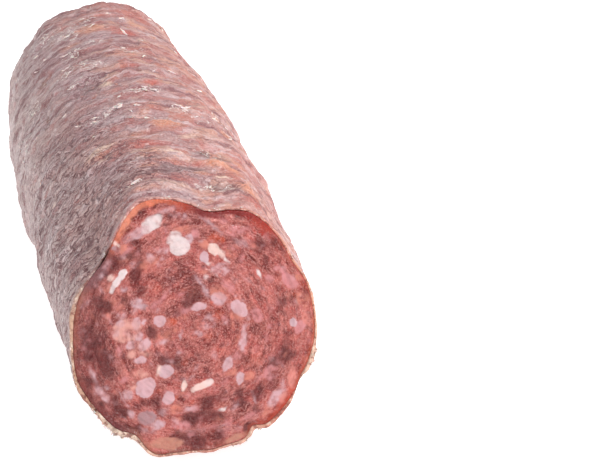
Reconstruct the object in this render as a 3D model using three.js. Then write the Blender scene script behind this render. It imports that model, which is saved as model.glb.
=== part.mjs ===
// Cured sausage, cut across at one end, lying on its side.
//
// A dried casing holds a coarse filling of lean meat and fat. The cut end leans
// back at the top, the other end closes in a blunt dome with a small gathered
// nub. Millimetres, +Z up, +Y from the cut end to the closed end. The origin is
// the middle of the footprint, on the surface that the sausage lies on.

import * as THREE from 'three';

// Driving dimensions
const CUT_RADIUS = 30;          // the casing's outer radius at the cut
const LENGTH = 175;             // along the axis, from the cut to the end of the dome
const BELLY = 2.85;             // how much the sausage swells between its ends
const TAPER = 2.2;              // how much the radius has fallen at the closed end
const AXIS_HEIGHT = 31.6;       // less than the belly's radius, so the underside is flat
const DOME = 14;                // depth of the closed end's dome
const DOME_POWER = 2.6;         // 2 is an ellipse, more is blunter
const NUB_RADIUS = 3.2;
const NUB_LENGTH = 5.5;
// How far the nub starts inside the dome, its neck and flare as shares of its
// radius, where the flare and the rounded tip start, the last ring, the folds
const NUB = { sunk: 0.4, neck: 0.86, flare: 0.3, flareFrom: 0.35, tipFrom: 0.6, lastRing: 0.35, fold: 0.3 };

const CUT_LEAN = 16.3;          // degrees that the top of the cut leans back
const CUT_TURN = 1.5;           // degrees that its right side lies further back
const CUT_REACH = 60;           // the lean has faded out this far from the cut

const CASING_WALL = 0.9;
const GAP = 0.3;                // between the casing and the filling
const FACE_SET_BACK = 0.3;      // the filling dries a little back from the casing's edge

// The cut rim is not round: [angle, height, spread], degrees and millimetres,
// with 0 to the right and 90 at the top, seen from the cut end
const RIM_REACH = 35;
const RIM_SHAPE = [
  [108, 3.2, 14],               // the shoulder where the casing stands up
  [78, -1.8, 9],                // the hollow beside it, over the crevice
  [56, 0.7, 9],
  [28, -1.1, 10],
  [350, 0.4, 9],
  [330, -0.5, 5],
  [296, -1.9, 4],               // the notch low on the right
  [280, -0.6, 7],
  [264, -0.8, 9],
  [246, 1.0, 6],                // the heel
  [233, -1.3, 6],               // the flat above it
  [195, 0.8, 12],
  [138, -2.1, 12],              // the torn corner
];
const TEAR = { angle: 137, depth: 1.8, spread: 8 };
const EDGE_REACH = 6;           // the tear and the set-back have faded out this far in
const CREVICE = { angle: 72, depth: 1.5, spread: 13, reach: 5 };

// Broad swells and hollows, which the filling shares, and then smaller knobs and
// dents of the casing: [angle, distance from the cut, height, spread round, spread along]
const SWELLS = [
  [183, 14, -0.6, 20, 12],      // left side, close to the cut
  [183, 65, -0.9, 20, 22],      // left waist
  [27, 34, -0.6, 20, 14],       // right side, close to the cut
  [27, 108, 0.8, 22, 38],       // long swell on the right
  [50, 166, 1.9, 20, 12],       // far right shoulder
  [150, 165, -1.1, 20, 12],     // far left shoulder
];
const KNOBS = [
  [100, 7, 0.5, 9, 4],          // band behind the lifted rim
  [67, 26, 1.1, 3.5, 3],        // round knob of fat
  [82, 52, 1.0, 5, 3.5],
  [117, 43, 1.0, 5, 3],
  [85, 31, 0.6, 3.5, 2.5],
  [95, 38, 0.6, 4, 4],
  [53, 34, 0.7, 4, 4],
  [54, 13, 0.7, 4, 3.5],
  [65, 35, -1.2, 4, 4],         // dark hollow
  [67, 13, -1.0, 5, 3],
  [106, 87, -0.9, 6, 4],
  [84, 87, 0.7, 6, 5],
  [84, 106, 0.7, 6, 5],
  [96, 136, 0.8, 7, 6],
];

// Smaller lumps of fat and lean that the dried casing follows. They are pressed
// flat where the sausage lies on them.
const LUMPS = {
  count: 210, seed: 41, height: 0.95, lowest: 0.4, dents: 0.34, smallest: 3.2, largest: 7.0, pressed: 20,
};
const DEEPEST_DENT = 0.65;      // less than the wall, so that no dent goes through it
// Lumps of the cut face
const FACE_LUMPS = { count: 46, seed: 77, height: 0.35, smallest: 2.2, largest: 4.2 };
// Folds of the gathered end
const PLEATS = { count: 12, depth: 0.55, twist: 25, deepest: 0.25, spread: 0.3 };

// How finely the solids are faceted
const AROUND = 60;
const OUTER_STEPS = 37;
const INNER_STEPS = 9;
const OUTER_DOME_STEPS = 9;
const INNER_DOME_STEPS = 5;
const NUB_STEPS = 5;
const FACE_RINGS = 9;
const INNER_NECK = 4;           // radius of the last ring before an inner pole
const STATION_GROWTH = 1.12;    // over 1 puts the rings closer together at the cut
const FACE_FADE = 0.25;         // share of the face's radius over which its lumps fade at the rim

const radians = THREE.MathUtils.degToRad;
const tan = (degrees) => Math.tan(radians(degrees));
const bump = (distance, spread) => Math.exp(-((distance / spread) ** 2));

// The shorter way round from one angle to another, in degrees
const turnBetween = (a, b) => THREE.MathUtils.euclideanModulo(a - b + 180, 360) - 180;

// A small seeded generator of numbers from 0 to 1
function seededDraws(seed) {
  let state = seed >>> 0;
  return () => {
    state = (Math.imul(state, 1664525) + 1013904223) >>> 0;
    return state / 4294967296;
  };
}

// Lumps spread over the skin; one in three is a dent
function scatterSkinLumps({ count, seed, height, lowest, dents, smallest, largest }) {
  const draw = seededDraws(seed);
  return Array.from({ length: count }, () => {
    const angle = 360 * draw();
    const along = LENGTH * draw();
    const up = height * (lowest + (1 - lowest) * draw()) * (draw() < dents ? -1 : 1);
    const round = smallest + (largest - smallest) * draw();
    const long = smallest + (largest - smallest) * draw();
    return [angle, along, up, round, long];
  });
}

// Lumps spread over the cut face: [x, up the face, height, spread]
function scatterFaceLumps({ count, seed, height, smallest, largest }) {
  const draw = seededDraws(seed);
  return Array.from({ length: count }, () => {
    const angle = 2 * Math.PI * draw();
    const out = (CUT_RADIUS - largest) * Math.sqrt(draw());
    const up = height * (2 * draw() - 1);
    const spread = smallest + (largest - smallest) * draw();
    return [out * Math.cos(angle), out * Math.sin(angle), up, spread];
  });
}

const skinLumps = [...KNOBS, ...scatterSkinLumps(LUMPS)];
const faceLumps = scatterFaceLumps(FACE_LUMPS);

// The plain radius of the casing at a distance along the axis
function bodyRadius(along) {
  const share = along / LENGTH;
  return CUT_RADIUS + BELLY * Math.sin(Math.PI * share) - TAPER * share ** 2;
}

// What makes the cut end uneven, fading towards the middle
function rimRelief(angle, along) {
  let height = 0;
  for (const [at, up, spread] of RIM_SHAPE) {
    height += up * bump(turnBetween(angle, at), spread);
  }
  return height * bump(along, RIM_REACH);
}

function skinRelief(angle, along, lumps) {
  let height = 0;
  for (const [at, from, up, round, long] of lumps) {
    const roundTo = radians(turnBetween(angle, at)) * CUT_RADIUS;
    if (Math.abs(roundTo) < 3 * round && Math.abs(along - from) < 3 * long) {
      height += up * bump(roundTo, round) * bump(along - from, long);
    }
  }
  return height;
}

// Folds that run in to the nub
function pleatRelief(angle, closing) {
  const wave = Math.cos(radians(PLEATS.count * angle + PLEATS.twist * Math.sin(radians(3 * angle))));
  const folded = Math.min(1, closing / PLEATS.deepest) * bump(closing - PLEATS.deepest, PLEATS.spread);
  return PLEATS.depth * wave * folded;
}

// A point at a distance along the axis, an angle round it and a radius, with
// the oblique cut and the flat underside. floor is the lowest height allowed.
function place(along, angle, radius, floor) {
  const x = radius * Math.cos(radians(angle));
  const z = Math.max(AXIS_HEIGHT + radius * Math.sin(radians(angle)), floor);
  const nearCut = Math.max(0, 1 - Math.max(along, 0) / CUT_REACH);
  const lean = (z - AXIS_HEIGHT) * tan(CUT_LEAN) + x * tan(CUT_TURN);
  return new THREE.Vector3(x, along + nearCut * lean, z);
}

// One ring of points round the axis; at(angle) gives a point
const ring = (at) => Array.from({ length: AROUND }, (_, i) => at((360 * i) / AROUND));

// Distances from the cut to the start of the dome, closer together at the cut
function bodyStations(steps) {
  const end = LENGTH - DOME;
  return Array.from({ length: steps + 1 }, (_, i) => end * (i / steps) ** STATION_GROWTH);
}

// Angles from the start of the dome to where its radius is down to neck
function domeAngles(steps, neck) {
  const last = Math.acos(neck / bodyRadius(LENGTH));
  return Array.from({ length: steps }, (_, i) => (last * (i + 1)) / steps);
}

// Rings of the dome of a skin that lies inset under the casing's surface
function domeRing(phi, inset, relief) {
  const closing = Math.cos(phi);
  const deep = Math.sin(phi) ** (2 / DOME_POWER);
  const along = LENGTH - DOME + (DOME - inset) * deep;
  const slopeOut = closing / bodyRadius(LENGTH);
  const slopeAlong = (DOME_POWER / 2) * deep ** (DOME_POWER - 1) / DOME;
  const slope = Math.hypot(slopeOut, slopeAlong);
  return ring((angle) => {
    const radius = (bodyRadius(along) - inset + rimRelief(angle, along)) * closing;
    const up = relief(angle, along, closing);
    return place(along + (up * slopeAlong) / slope, angle, radius + (up * slopeOut) / slope, inset);
  });
}

// The rings of a skin from the cut to the dome's end
function skinRings({ inset, steps, domeSteps, neck, relief, edge }) {
  const body = bodyStations(steps).map((along) => ring((angle) => {
    const radius = bodyRadius(along) - inset + rimRelief(angle, along) + relief(angle, along, 1);
    const shift = edge(angle, along);
    return place(along + shift.along, angle, radius + shift.out, inset);
  }));
  const dome = domeAngles(domeSteps, neck).map((phi) => domeRing(phi, inset, relief));
  return [...body, ...dome];
}

// The gathered nub: a short stub with a waist and a rounded tip
function nubRings() {
  const start = LENGTH - NUB.sunk;
  return Array.from({ length: NUB_STEPS }, (_, i) => {
    const share = (i + 1) / NUB_STEPS;
    const along = start + NUB_LENGTH * share;
    const waist = NUB_RADIUS * (NUB.neck + NUB.flare * Math.sin(Math.PI * (share - NUB.flareFrom)));
    const past = Math.max(0, (share - NUB.tipFrom) / (1 - NUB.tipFrom));
    const tip = Math.max(NUB.lastRing, Math.sqrt(1 - past ** 2));
    const fold = (angle) => NUB.fold * Math.cos(radians((PLEATS.count / 2) * angle));
    return ring((angle) => place(along, angle, (waist + fold(angle)) * tip, 0));
  });
}

// A closed body through rings of points, from one pole to the other
function closedBody(firstPole, rings, lastPole) {
  const points = [firstPole, ...rings.flat(), lastPole];
  const index = [];
  const at = (row, i) => 1 + row * AROUND + (i % AROUND);
  const lastRow = rings.length - 1;
  for (let i = 0; i < AROUND; i += 1) {
    index.push(0, at(0, i), at(0, i + 1));
    for (let row = 0; row < lastRow; row += 1) {
      index.push(at(row, i), at(row + 1, i), at(row + 1, i + 1));
      index.push(at(row, i), at(row + 1, i + 1), at(row, i + 1));
    }
    index.push(at(lastRow, i), points.length - 1, at(lastRow, i + 1));
  }
  const geometry = new THREE.BufferGeometry().setFromPoints(points);
  geometry.setIndex(index);
  geometry.computeVertexNormals();
  return geometry;
}

const swell = (angle, along) => skinRelief(angle, along, SWELLS);

// The casing's own relief over the swells
function casingRelief(angle, along, closing) {
  const unpressed = 1 - bump(turnBetween(angle, 270), LUMPS.pressed);
  const pleats = closing < 1 ? pleatRelief(angle, closing) : 0;
  const lumps = skinRelief(angle, along, skinLumps) * unpressed * closing;
  const kept = lumps < 0 ? DEEPEST_DENT * Math.tanh(lumps / DEEPEST_DENT) : lumps;
  return swell(angle, along) + kept + pleats;
}

// The casing: its inner skin from the far pole to the cut, then its outer skin
function makeCasing() {
  const tornBack = (angle, along) => ({
    along: TEAR.depth * bump(turnBetween(angle, TEAR.angle), TEAR.spread) * bump(along, EDGE_REACH),
    out: 0,
  });
  const inner = skinRings({
    inset: CASING_WALL, steps: INNER_STEPS, domeSteps: INNER_DOME_STEPS, neck: INNER_NECK, relief: swell,
    edge: tornBack,
  });
  const outer = skinRings({
    inset: 0,
    steps: OUTER_STEPS,
    domeSteps: OUTER_DOME_STEPS,
    neck: NUB_RADIUS,
    relief: casingRelief,
    edge: tornBack,
  });
  const innerPole = place(LENGTH - CASING_WALL, 0, 0, 0);
  const outerPole = place(LENGTH + NUB_LENGTH, 0, 0, 0);
  return closedBody(innerPole, [...inner.reverse(), ...outer, ...nubRings()], outerPole);
}

// The filling: its cut face from the middle outwards, then its side to the far pole
function makeMeat() {
  const inset = CASING_WALL + GAP;
  const shrunk = (angle, along) => {
    const crevice = bump(turnBetween(angle, CREVICE.angle), CREVICE.spread) * bump(along, CREVICE.reach);
    return { along: FACE_SET_BACK * bump(along, EDGE_REACH / 2), out: -CREVICE.depth * crevice };
  };
  const side = skinRings({
    inset, steps: INNER_STEPS, domeSteps: INNER_DOME_STEPS, neck: INNER_NECK, relief: swell,
    edge: shrunk,
  });
  const edge = side[0];
  const middle = place(FACE_SET_BACK, 0, 0, 0);
  const face = Array.from({ length: FACE_RINGS - 1 }, (_, i) => {
    const share = (i + 1) / FACE_RINGS;
    return edge.map((rimPoint) => {
      const point = middle.clone().lerp(rimPoint, share);
      const fade = Math.min(1, (1 - share) / FACE_FADE);
      for (const [x, up, height, spread] of faceLumps) {
        const apart = Math.hypot(point.x - x, point.z - AXIS_HEIGHT - up);
        point.y += height * fade * bump(apart, spread);
      }
      return point;
    });
  });
  return closedBody(middle, [...face, ...side], place(LENGTH - inset, 0, 0, 0));
}

const casing = new THREE.Mesh(
  makeCasing(),
  new THREE.MeshStandardMaterial({ color: 0xa88c8a, roughness: 0.62, metalness: 0 }),
);
casing.name = 'casing';

const meat = new THREE.Mesh(
  makeMeat(),
  new THREE.MeshStandardMaterial({ color: 0xa84a48, roughness: 0.5, metalness: 0 }),
);
meat.name = 'meat';

// Centred on its footprint
const sausage = new THREE.Group();
sausage.add(casing, meat);
const footprint = new THREE.Box3().setFromObject(casing).getCenter(new THREE.Vector3());
sausage.position.set(-footprint.x, -footprint.y, 0);

export default sausage;
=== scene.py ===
# %% [markdown]
# # A cured sausage, cut across at one end
#
# The real thing is a dried casing, about a millimetre thick, stuffed with
# coarsely chopped lean meat and white back fat. It has hung for weeks, so the
# casing has shrunk on to every lump under it and has gone leathery. This
# lesson dresses the plain solids of the frame: a fine skin goes over the one
# called casing, and a fine filling with a real cut face over the one called
# meat. Everything is in metres in Blender, but the sizes below are written in
# millimetres, because that is how one thinks of a sausage.

# %% Load the frame
import math

import bpy
import numpy as np
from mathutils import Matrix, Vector


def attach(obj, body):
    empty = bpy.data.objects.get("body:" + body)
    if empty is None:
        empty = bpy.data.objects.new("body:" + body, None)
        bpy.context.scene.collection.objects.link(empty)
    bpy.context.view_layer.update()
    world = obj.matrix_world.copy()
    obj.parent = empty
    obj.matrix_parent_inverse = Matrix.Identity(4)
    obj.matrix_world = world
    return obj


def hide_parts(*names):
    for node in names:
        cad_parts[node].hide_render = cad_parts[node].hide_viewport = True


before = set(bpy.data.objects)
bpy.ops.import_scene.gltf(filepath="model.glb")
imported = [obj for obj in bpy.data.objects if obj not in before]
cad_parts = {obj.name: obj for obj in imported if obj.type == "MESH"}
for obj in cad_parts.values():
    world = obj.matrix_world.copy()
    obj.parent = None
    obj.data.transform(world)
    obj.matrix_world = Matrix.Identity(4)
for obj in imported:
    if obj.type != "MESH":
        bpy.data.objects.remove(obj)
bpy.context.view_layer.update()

MM = 0.001

# %% [markdown]
# ## One shape for everything
#
# The skin, the filling and every scrap on them have to lie on each other, so
# the shape of the sausage is one function of two numbers: how far along the
# axis a point is, and at what angle round it. The named sizes are those of the
# solids. Sculpting would give a freer shape, but nothing would fit the solids
# and no size could be changed later.

# %% Sizes of the sausage, in millimetres and degrees
CUT_RADIUS = 30
LENGTH = 175
BELLY = 2.85
TAPER = 2.2
AXIS_HEIGHT = 31.6
DOME = 14
DOME_POWER = 2.6
NUB_RADIUS = 3.2
NUB_LENGTH = 5.5
NUB = {
    "sunk": 0.4, "neck": 0.86, "flare": 0.3, "flare from": 0.35, "tip from": 0.6, "last ring": 0.35,
    "fold": 0.3,
}
CUT_LEAN = 16.3
CUT_TURN = 1.5
CUT_REACH = 60
CASING_WALL = 0.9
GAP = 0.3
FACE_SET_BACK = 0.3
RIM_REACH = 35
EDGE_REACH = 6

# The cut rim isn't round: angle, height, spread (0 is right, 90 is the top)
RIM_SHAPE = [
    (108, 3.2, 14), (78, -1.8, 9), (56, 0.7, 9), (28, -1.1, 10), (350, 0.4, 9), (330, -0.5, 5),
    (296, -1.9, 4), (280, -0.6, 7), (264, -0.8, 9), (246, 1.0, 6), (233, -1.3, 6), (195, 0.8, 12),
    (138, -2.1, 12),
]
TEAR = {"angle": 137, "depth": 1.8, "spread": 8}
CREVICE = {"angle": 72, "spread": 13, "reach": 5, "opens": 0.35}

# Swells and knobs: angle, distance from the cut, height, spread round, spread along
SWELLS = [
    (183, 14, -0.6, 20, 12), (183, 65, -0.9, 20, 22), (27, 34, -0.6, 20, 14), (27, 108, 0.8, 22, 38),
    (50, 166, 1.9, 20, 12), (150, 165, -1.1, 20, 12),
]
KNOBS = [
    (100, 7, 0.5, 9, 4), (67, 26, 1.1, 3.5, 3), (82, 52, 1.0, 5, 3.5), (117, 43, 1.0, 5, 3),
    (85, 31, 0.6, 3.5, 2.5), (95, 38, 0.6, 4, 4), (53, 34, 0.7, 4, 4), (54, 13, 0.7, 4, 3.5),
    (65, 35, -1.2, 4, 4), (67, 13, -1.0, 5, 3), (106, 87, -0.9, 6, 4), (84, 87, 0.7, 6, 5),
    (84, 106, 0.7, 6, 5), (96, 136, 0.8, 7, 6),
]
LUMPS = {"count": 210, "seed": 41, "height": 0.95, "smallest": 3.2, "largest": 7.0}
# The lowest lump's share of the full height, and how many of them go inwards
LOWEST_LUMP = 0.4
SHARE_OF_DENTS = 0.34
DEEPEST_DENT = 0.65
# Lumps are pressed flat where it rests, over about this angle to each side
PRESSED_FLAT = 20
PLEATS = {"count": 12, "depth": 0.55, "twist": 25, "deepest": 0.25, "spread": 0.3}


# %% The shape function
def bump(distance, spread):
    """A smooth hill: 1 in its middle, about a third at its spread, near 0 at twice that."""
    return np.exp(-((distance / spread) ** 2))


def turn_between(a, b):
    """How far angle a lies from angle b, from -180 to 180 degrees."""
    return np.mod(a - b + 180, 360) - 180


def seeded_draws(seed):
    """Endless numbers from 0 to 1, the same in every run."""
    state = seed
    while True:
        state = (state * 1664525 + 1013904223) % 4294967296
        yield state / 4294967296


def scatter_lumps(count, seed, height, smallest, largest):
    """Random lumps and dents in the same form as the named knobs."""
    draws = seeded_draws(seed)
    lumps = []
    for _ in range(count):
        angle, along = 360 * next(draws), LENGTH * next(draws)
        up = height * (LOWEST_LUMP + (1 - LOWEST_LUMP) * next(draws))
        up = -up if next(draws) < SHARE_OF_DENTS else up
        lumps.append((angle, along, up, *(smallest + (largest - smallest) * next(draws) for _ in "ab")))
    return lumps


def body_radius(along):
    """The radius of the plain body: a belly in the middle and a taper to the closed end."""
    share = along / LENGTH
    return CUT_RADIUS + BELLY * np.sin(np.pi * share) - TAPER * share**2


def rim_relief(angle, along):
    """How far the pinched rim stands out or in, fading away from the cut."""
    height = sum(up * bump(turn_between(angle, at), spread) for at, up, spread in RIM_SHAPE)
    return height * bump(along, RIM_REACH)


def relief_of(lumps, angle, along):
    """The height of all those lumps together."""
    height = np.zeros(np.broadcast(angle, along).shape)
    for at, start, up, around, length in lumps:
        arc = np.radians(turn_between(angle, at)) * CUT_RADIUS
        height += up * bump(arc, around) * bump(along - start, length)
    return height


SKIN_LUMPS = KNOBS + scatter_lumps(**LUMPS)


def casing_relief(angle, along, closing):
    """How far the skin stands out. Closing is 1 on the long body and 0 at the dome's tip."""
    unpressed = 1 - bump(turn_between(angle, 270), PRESSED_FLAT)
    wave = np.cos(np.radians(PLEATS["count"] * angle + PLEATS["twist"] * np.sin(np.radians(3 * angle))))
    from_deepest = closing - PLEATS["deepest"]
    folded = np.minimum(1, closing / PLEATS["deepest"]) * bump(from_deepest, PLEATS["spread"])
    lumps = relief_of(SKIN_LUMPS, angle, along) * unpressed * closing
    kept = np.where(lumps < 0, DEEPEST_DENT * np.tanh(lumps / DEEPEST_DENT), lumps)
    return relief_of(SWELLS, angle, along) + kept + PLEATS["depth"] * wave * folded * (closing < 1)


def swell_relief(angle, along, closing):
    """The same for hidden sides, which follow the large swells alone."""
    return relief_of(SWELLS, angle, along)


def place(along, angle, radius, lowest):
    """The point at a distance along the axis, an angle and a radius, with the slanting cut."""
    x = radius * np.cos(np.radians(angle))
    z = np.maximum(AXIS_HEIGHT + radius * np.sin(np.radians(angle)), lowest)
    near_cut = np.maximum(0, 1 - np.maximum(along, 0) / CUT_REACH)
    lean = (z - AXIS_HEIGHT) * math.tan(math.radians(CUT_LEAN)) + x * math.tan(math.radians(CUT_TURN))
    return np.stack(np.broadcast_arrays(x, along + near_cut * lean, z), axis=-1)


def body_rings(angle, stations, inset, relief, shift_along=0, shift_out=0):
    """Rings of points from the cut to the start of the dome, one for each station."""
    along = stations[:, None]
    radius = body_radius(along) - inset + rim_relief(angle, along) + relief(angle, along, 1)
    return place(along + shift_along, angle, radius + shift_out, inset)


def dome_rings(angle, steps, neck, inset, relief):
    """Rings of points from the start of the dome to where its radius is down to neck."""
    phi = np.arccos(neck / body_radius(LENGTH)) * (np.arange(steps)[:, None] + 1) / steps
    closing, deep = np.cos(phi), np.sin(phi) ** (2 / DOME_POWER)
    along = LENGTH - DOME + (DOME - inset) * deep
    slope_out = closing / body_radius(LENGTH)
    slope_along = DOME_POWER / 2 * deep ** (DOME_POWER - 1) / DOME
    slope = np.hypot(slope_out, slope_along)
    up = relief(angle, along, closing)
    radius = (body_radius(along) - inset + rim_relief(angle, along)) * closing
    return place(along + up * slope_along / slope, angle, radius + up * slope_out / slope, inset)


def nub_rings(angle, steps):
    """Rings of the gathered nub at the closed end."""
    share = (np.arange(steps)[:, None] + 1) / steps
    waist = NUB_RADIUS * (NUB["neck"] + NUB["flare"] * np.sin(np.pi * (share - NUB["flare from"])))
    past = np.maximum(0, (share - NUB["tip from"]) / (1 - NUB["tip from"]))
    tip = np.maximum(NUB["last ring"], np.sqrt(1 - past**2))
    fold = NUB["fold"] * np.cos(np.radians(PLEATS["count"] / 2 * angle))
    return place(LENGTH - NUB["sunk"] + NUB_LENGTH * share, angle, (waist + fold) * tip, 0)


# The solid's own tip shows how far the frame's origin is from the cut's middle
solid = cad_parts["casing"].data.vertices
tip_of_solid = max((vertex.co for vertex in solid), key=lambda co: co.y)
OFFSET = np.array([tip_of_solid.x * 1000, tip_of_solid.y * 1000 - LENGTH - NUB_LENGTH, 0])
print("the cut's middle lies at", OFFSET.round(2), "mm from the origin")

# %% [markdown]
# ## Noise that can be asked for anywhere
#
# Blender's noise textures live in materials and in Geometry Nodes. The filling
# below also needs noise while its points are placed, so here is a small one:
# each corner of a grid of cubes gets a number by mixing up its whole-number
# place, and a point between corners takes a smooth blend of the eight.


# %% Noise over points
def corner_value(i, j, k, seed):
    """A number from -1 to 1 for a corner of the grid. The factors are large primes."""
    mixed = (i * 73856093 ^ j * 19349663 ^ k * 83492791 ^ seed * 62089911) & 0xFFFFFFFF
    mixed = ((mixed ^ (mixed >> 13)) * 1274126177) & 0xFFFFFFFF
    return ((mixed ^ (mixed >> 16)) & 0xFFFF) / 32767.5 - 1


def cloud(points, size, seed):
    """Smooth noise from -1 to 1 with lumps of that size."""
    scaled = points / np.asarray(size, float)
    cell = np.floor(scaled).astype(np.int64)
    part = scaled - cell
    part = part * part * (3 - 2 * part)
    total = 0
    for corner in np.ndindex(2, 2, 2):
        weight = np.prod(np.where(corner, part, 1 - part), axis=-1)
        total = total + weight * corner_value(*(cell[..., n] + corner[n] for n in range(3)), seed)
    return total


def smooth_step(value, start, end):
    """0 before start, 1 past end and a soft slope between."""
    share = np.clip((value - start) / (end - start), 0, 1)
    return share * share * (3 - 2 * share)


# %% [markdown]
# ## Meshes from rings
#
# Both pieces are bodies of rings closed by a pole at each end, the way a
# lathe-turned shape is. A grid of quads between rings keeps every face the
# same way round, so the normals point outwards from the start. Values that the
# materials need, such as how fat a point is, are stored as attributes.


# %% A closed body through rings
def ringed_mesh(name, first_pole, rings, last_pole, attributes):
    """A mesh from an array of rings (row, place in the row, xyz) in millimetres."""
    rows, around = rings.shape[:2]
    points = np.concatenate([[first_pole], rings.reshape(-1, 3), [last_pole]])
    points = (points + OFFSET) * MM
    here = 1 + np.arange(rows * around).reshape(rows, around)
    beside = np.roll(here, -1, axis=1)
    quads = np.stack([here[:-1], here[1:], beside[1:], beside[:-1]], axis=-1).reshape(-1, 4)
    last = len(points) - 1
    start_fan = np.stack([np.zeros(around, int), here[0], beside[0]], axis=-1)
    end_fan = np.stack([here[-1], np.full(around, last), beside[-1]], axis=-1)
    mesh = bpy.data.meshes.new(name)
    mesh.from_pydata(points.tolist(), [], quads.tolist() + start_fan.tolist() + end_fan.tolist())
    mesh.shade_smooth()
    for key, values in attributes.items():
        values = np.asarray(values, float)
        ends = np.zeros((1,) + values.shape[2:])
        flat = np.concatenate([values[:1, 0] + ends, values.reshape(-1, *values.shape[2:]), ends])
        if flat.ndim == 1:
            mesh.attributes.new(key, "FLOAT", "POINT").data.foreach_set("value", flat)
        else:
            flat = np.concatenate([flat, np.ones((len(flat), 1))], axis=1)
            mesh.attributes.new(key, "FLOAT_COLOR", "POINT").data.foreach_set("color", flat.ravel())
    piece = bpy.data.objects.new(name, mesh)
    bpy.context.scene.collection.objects.link(piece)
    return piece


# %% [markdown]
# ## One helper for nodes
#
# Every material and every Geometry Nodes tree below is built with this one
# function: it adds a node, gives it its settings, and fills each input with a
# number, a colour or a link from another node.


# %% Add a node
def add(tree, kind, inputs=None, **settings):
    """A new node of that kind. Inputs are filled by name or by number."""
    node = tree.nodes.new(kind)
    for key, value in settings.items():
        setattr(node, key, value)
    for key, value in (inputs or {}).items():
        if isinstance(value, bpy.types.NodeSocket):
            tree.links.new(value, node.inputs[key])
        else:
            node.inputs[key].default_value = value
    return node


def linear(colour):
    """An sRGB hex colour as linear red, green, blue and alpha."""
    channels = [int(colour[n:n + 2], 16) / 255 for n in (1, 3, 5)]
    return [c / 12.92 if c <= 0.04045 else ((c + 0.055) / 1.055) ** 2.4 for c in channels] + [1.0]


def per_mm(size):
    """The scale of a texture whose features are that many millimetres apart."""
    return 1 / (size * MM)


def new_material(name):
    """An empty material, its tree, and the socket that gives a point's place on the piece."""
    material = bpy.data.materials.new(name)
    material.use_nodes = True
    material.node_tree.nodes.clear()
    where = add(material.node_tree, "ShaderNodeTexCoord").outputs["Object"]
    return material, material.node_tree, where


# %% [markdown]
# ## The casing's form
#
# The casing is a beef or collagen skin a little under a millimetre thick. Its
# outside follows the lumps; at the cut one sees its edge, pinched thinner by
# the knife and a little ragged. Modelling both sides with real thickness makes
# that edge true from any angle; a single sheet would look like paper there.
# Rings are closer together near the cut, where it is seen from close by.

# %% Build the casing
SKIN_AROUND = 400
SKIN_BODY_RINGS = 176
SKIN_DOME_RINGS = 32
SKIN_NUB_RINGS = 13
EDGE_RINGS = 3
# More than 1 crowds the rings towards the cut
RING_CROWDING = 1.45
# Rings of the inside, which nobody sees, as shares of the straight part
HIDDEN_STATIONS = [0.05, 0.1, 0.18, 0.28, 0.4, 0.52, 0.64, 0.75, 0.83, 0.88, 0.92, 0.96, 1.0]
HIDDEN_DOME_RINGS = 5
HIDDEN_NECK = 4
EDGE_WALL = 0.5
PINCH_REACH = 2.5
EDGE_BULGE = 0.12
RAGGED = {"least": 0.2, "wave": 1.7, "ripple": 0.7, "ripple share": 0.8, "reach": 0.8}
# Where the edge is frayed: angle, how far, spread
FRAYED = [(222, 0.55, 14), (342, 0.5, 8), (185, 0.25, 14), (290, 0.3, 10)]

skin_angle = np.arange(SKIN_AROUND) * 360 / SKIN_AROUND
skin_turn = np.radians(skin_angle)
on_circle = np.stack([np.cos(skin_turn), np.zeros(SKIN_AROUND), np.sin(skin_turn)], -1)


def torn_back(stations):
    """How far the casing's edge stands back from the cut, all round."""
    tear = TEAR["depth"] * bump(turn_between(skin_angle, TEAR["angle"]), TEAR["spread"])
    frayed = sum(far * bump(turn_between(skin_angle, at), spread) for at, far, spread in FRAYED)
    wave = cloud(on_circle * CUT_RADIUS, RAGGED["wave"], 5)
    ripple = cloud(on_circle * CUT_RADIUS, RAGGED["ripple"], 6)
    ragged = (RAGGED["least"] + frayed) * (wave + RAGGED["ripple share"] * ripple)
    return tear * bump(stations[:, None], EDGE_REACH) + ragged * bump(stations[:, None], RAGGED["reach"])


def pinched(stations):
    """How much thinner the wall is towards the cut."""
    return (CASING_WALL - EDGE_WALL) * bump(stations[:, None], PINCH_REACH)


outer_stations = (LENGTH - DOME) * np.linspace(0, 1, SKIN_BODY_RINGS) ** RING_CROWDING
inner_stations = (LENGTH - DOME) * np.array([0, 0.006, 0.015, 0.03, *HIDDEN_STATIONS])
inner = np.concatenate([
    body_rings(
        skin_angle, inner_stations, CASING_WALL, swell_relief,
        torn_back(inner_stations), pinched(inner_stations),
    ),
    dome_rings(skin_angle, HIDDEN_DOME_RINGS, HIDDEN_NECK, CASING_WALL, swell_relief),
])[::-1]
outer = np.concatenate([
    body_rings(skin_angle, outer_stations, 0, casing_relief, torn_back(outer_stations)),
    dome_rings(skin_angle, SKIN_DOME_RINGS, NUB_RADIUS, 0, casing_relief),
    nub_rings(skin_angle, SKIN_NUB_RINGS),
])
across = (np.arange(EDGE_RINGS)[:, None, None] + 1) / (EDGE_RINGS + 1)
edge = inner[-1] * (1 - across) + outer[0] * across
edge[..., 1] -= EDGE_BULGE * np.sin(np.pi * across[..., 0]) * (1 + cloud(edge, 1.1, 8))

rings = np.concatenate([inner, edge, outer])
hidden_rings = len(inner) + len(edge)
depth_from_cut = np.concatenate([
    np.zeros(hidden_rings), outer_stations, np.full(len(outer) - SKIN_BODY_RINGS, LENGTH)
])[:, None] + np.zeros(SKIN_AROUND)
on_outside = np.concatenate([np.zeros(hidden_rings), np.ones(len(outer))])[:, None] + 0 * depth_from_cut
# The fine relief fades out at the cut's edge and where the sausage rests, below 7 mm
off_floor = smooth_step(rings[..., 2], 1.0, 7.0)
loose = on_outside * off_floor * smooth_step(depth_from_cut, 0.0, 1.2)

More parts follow.
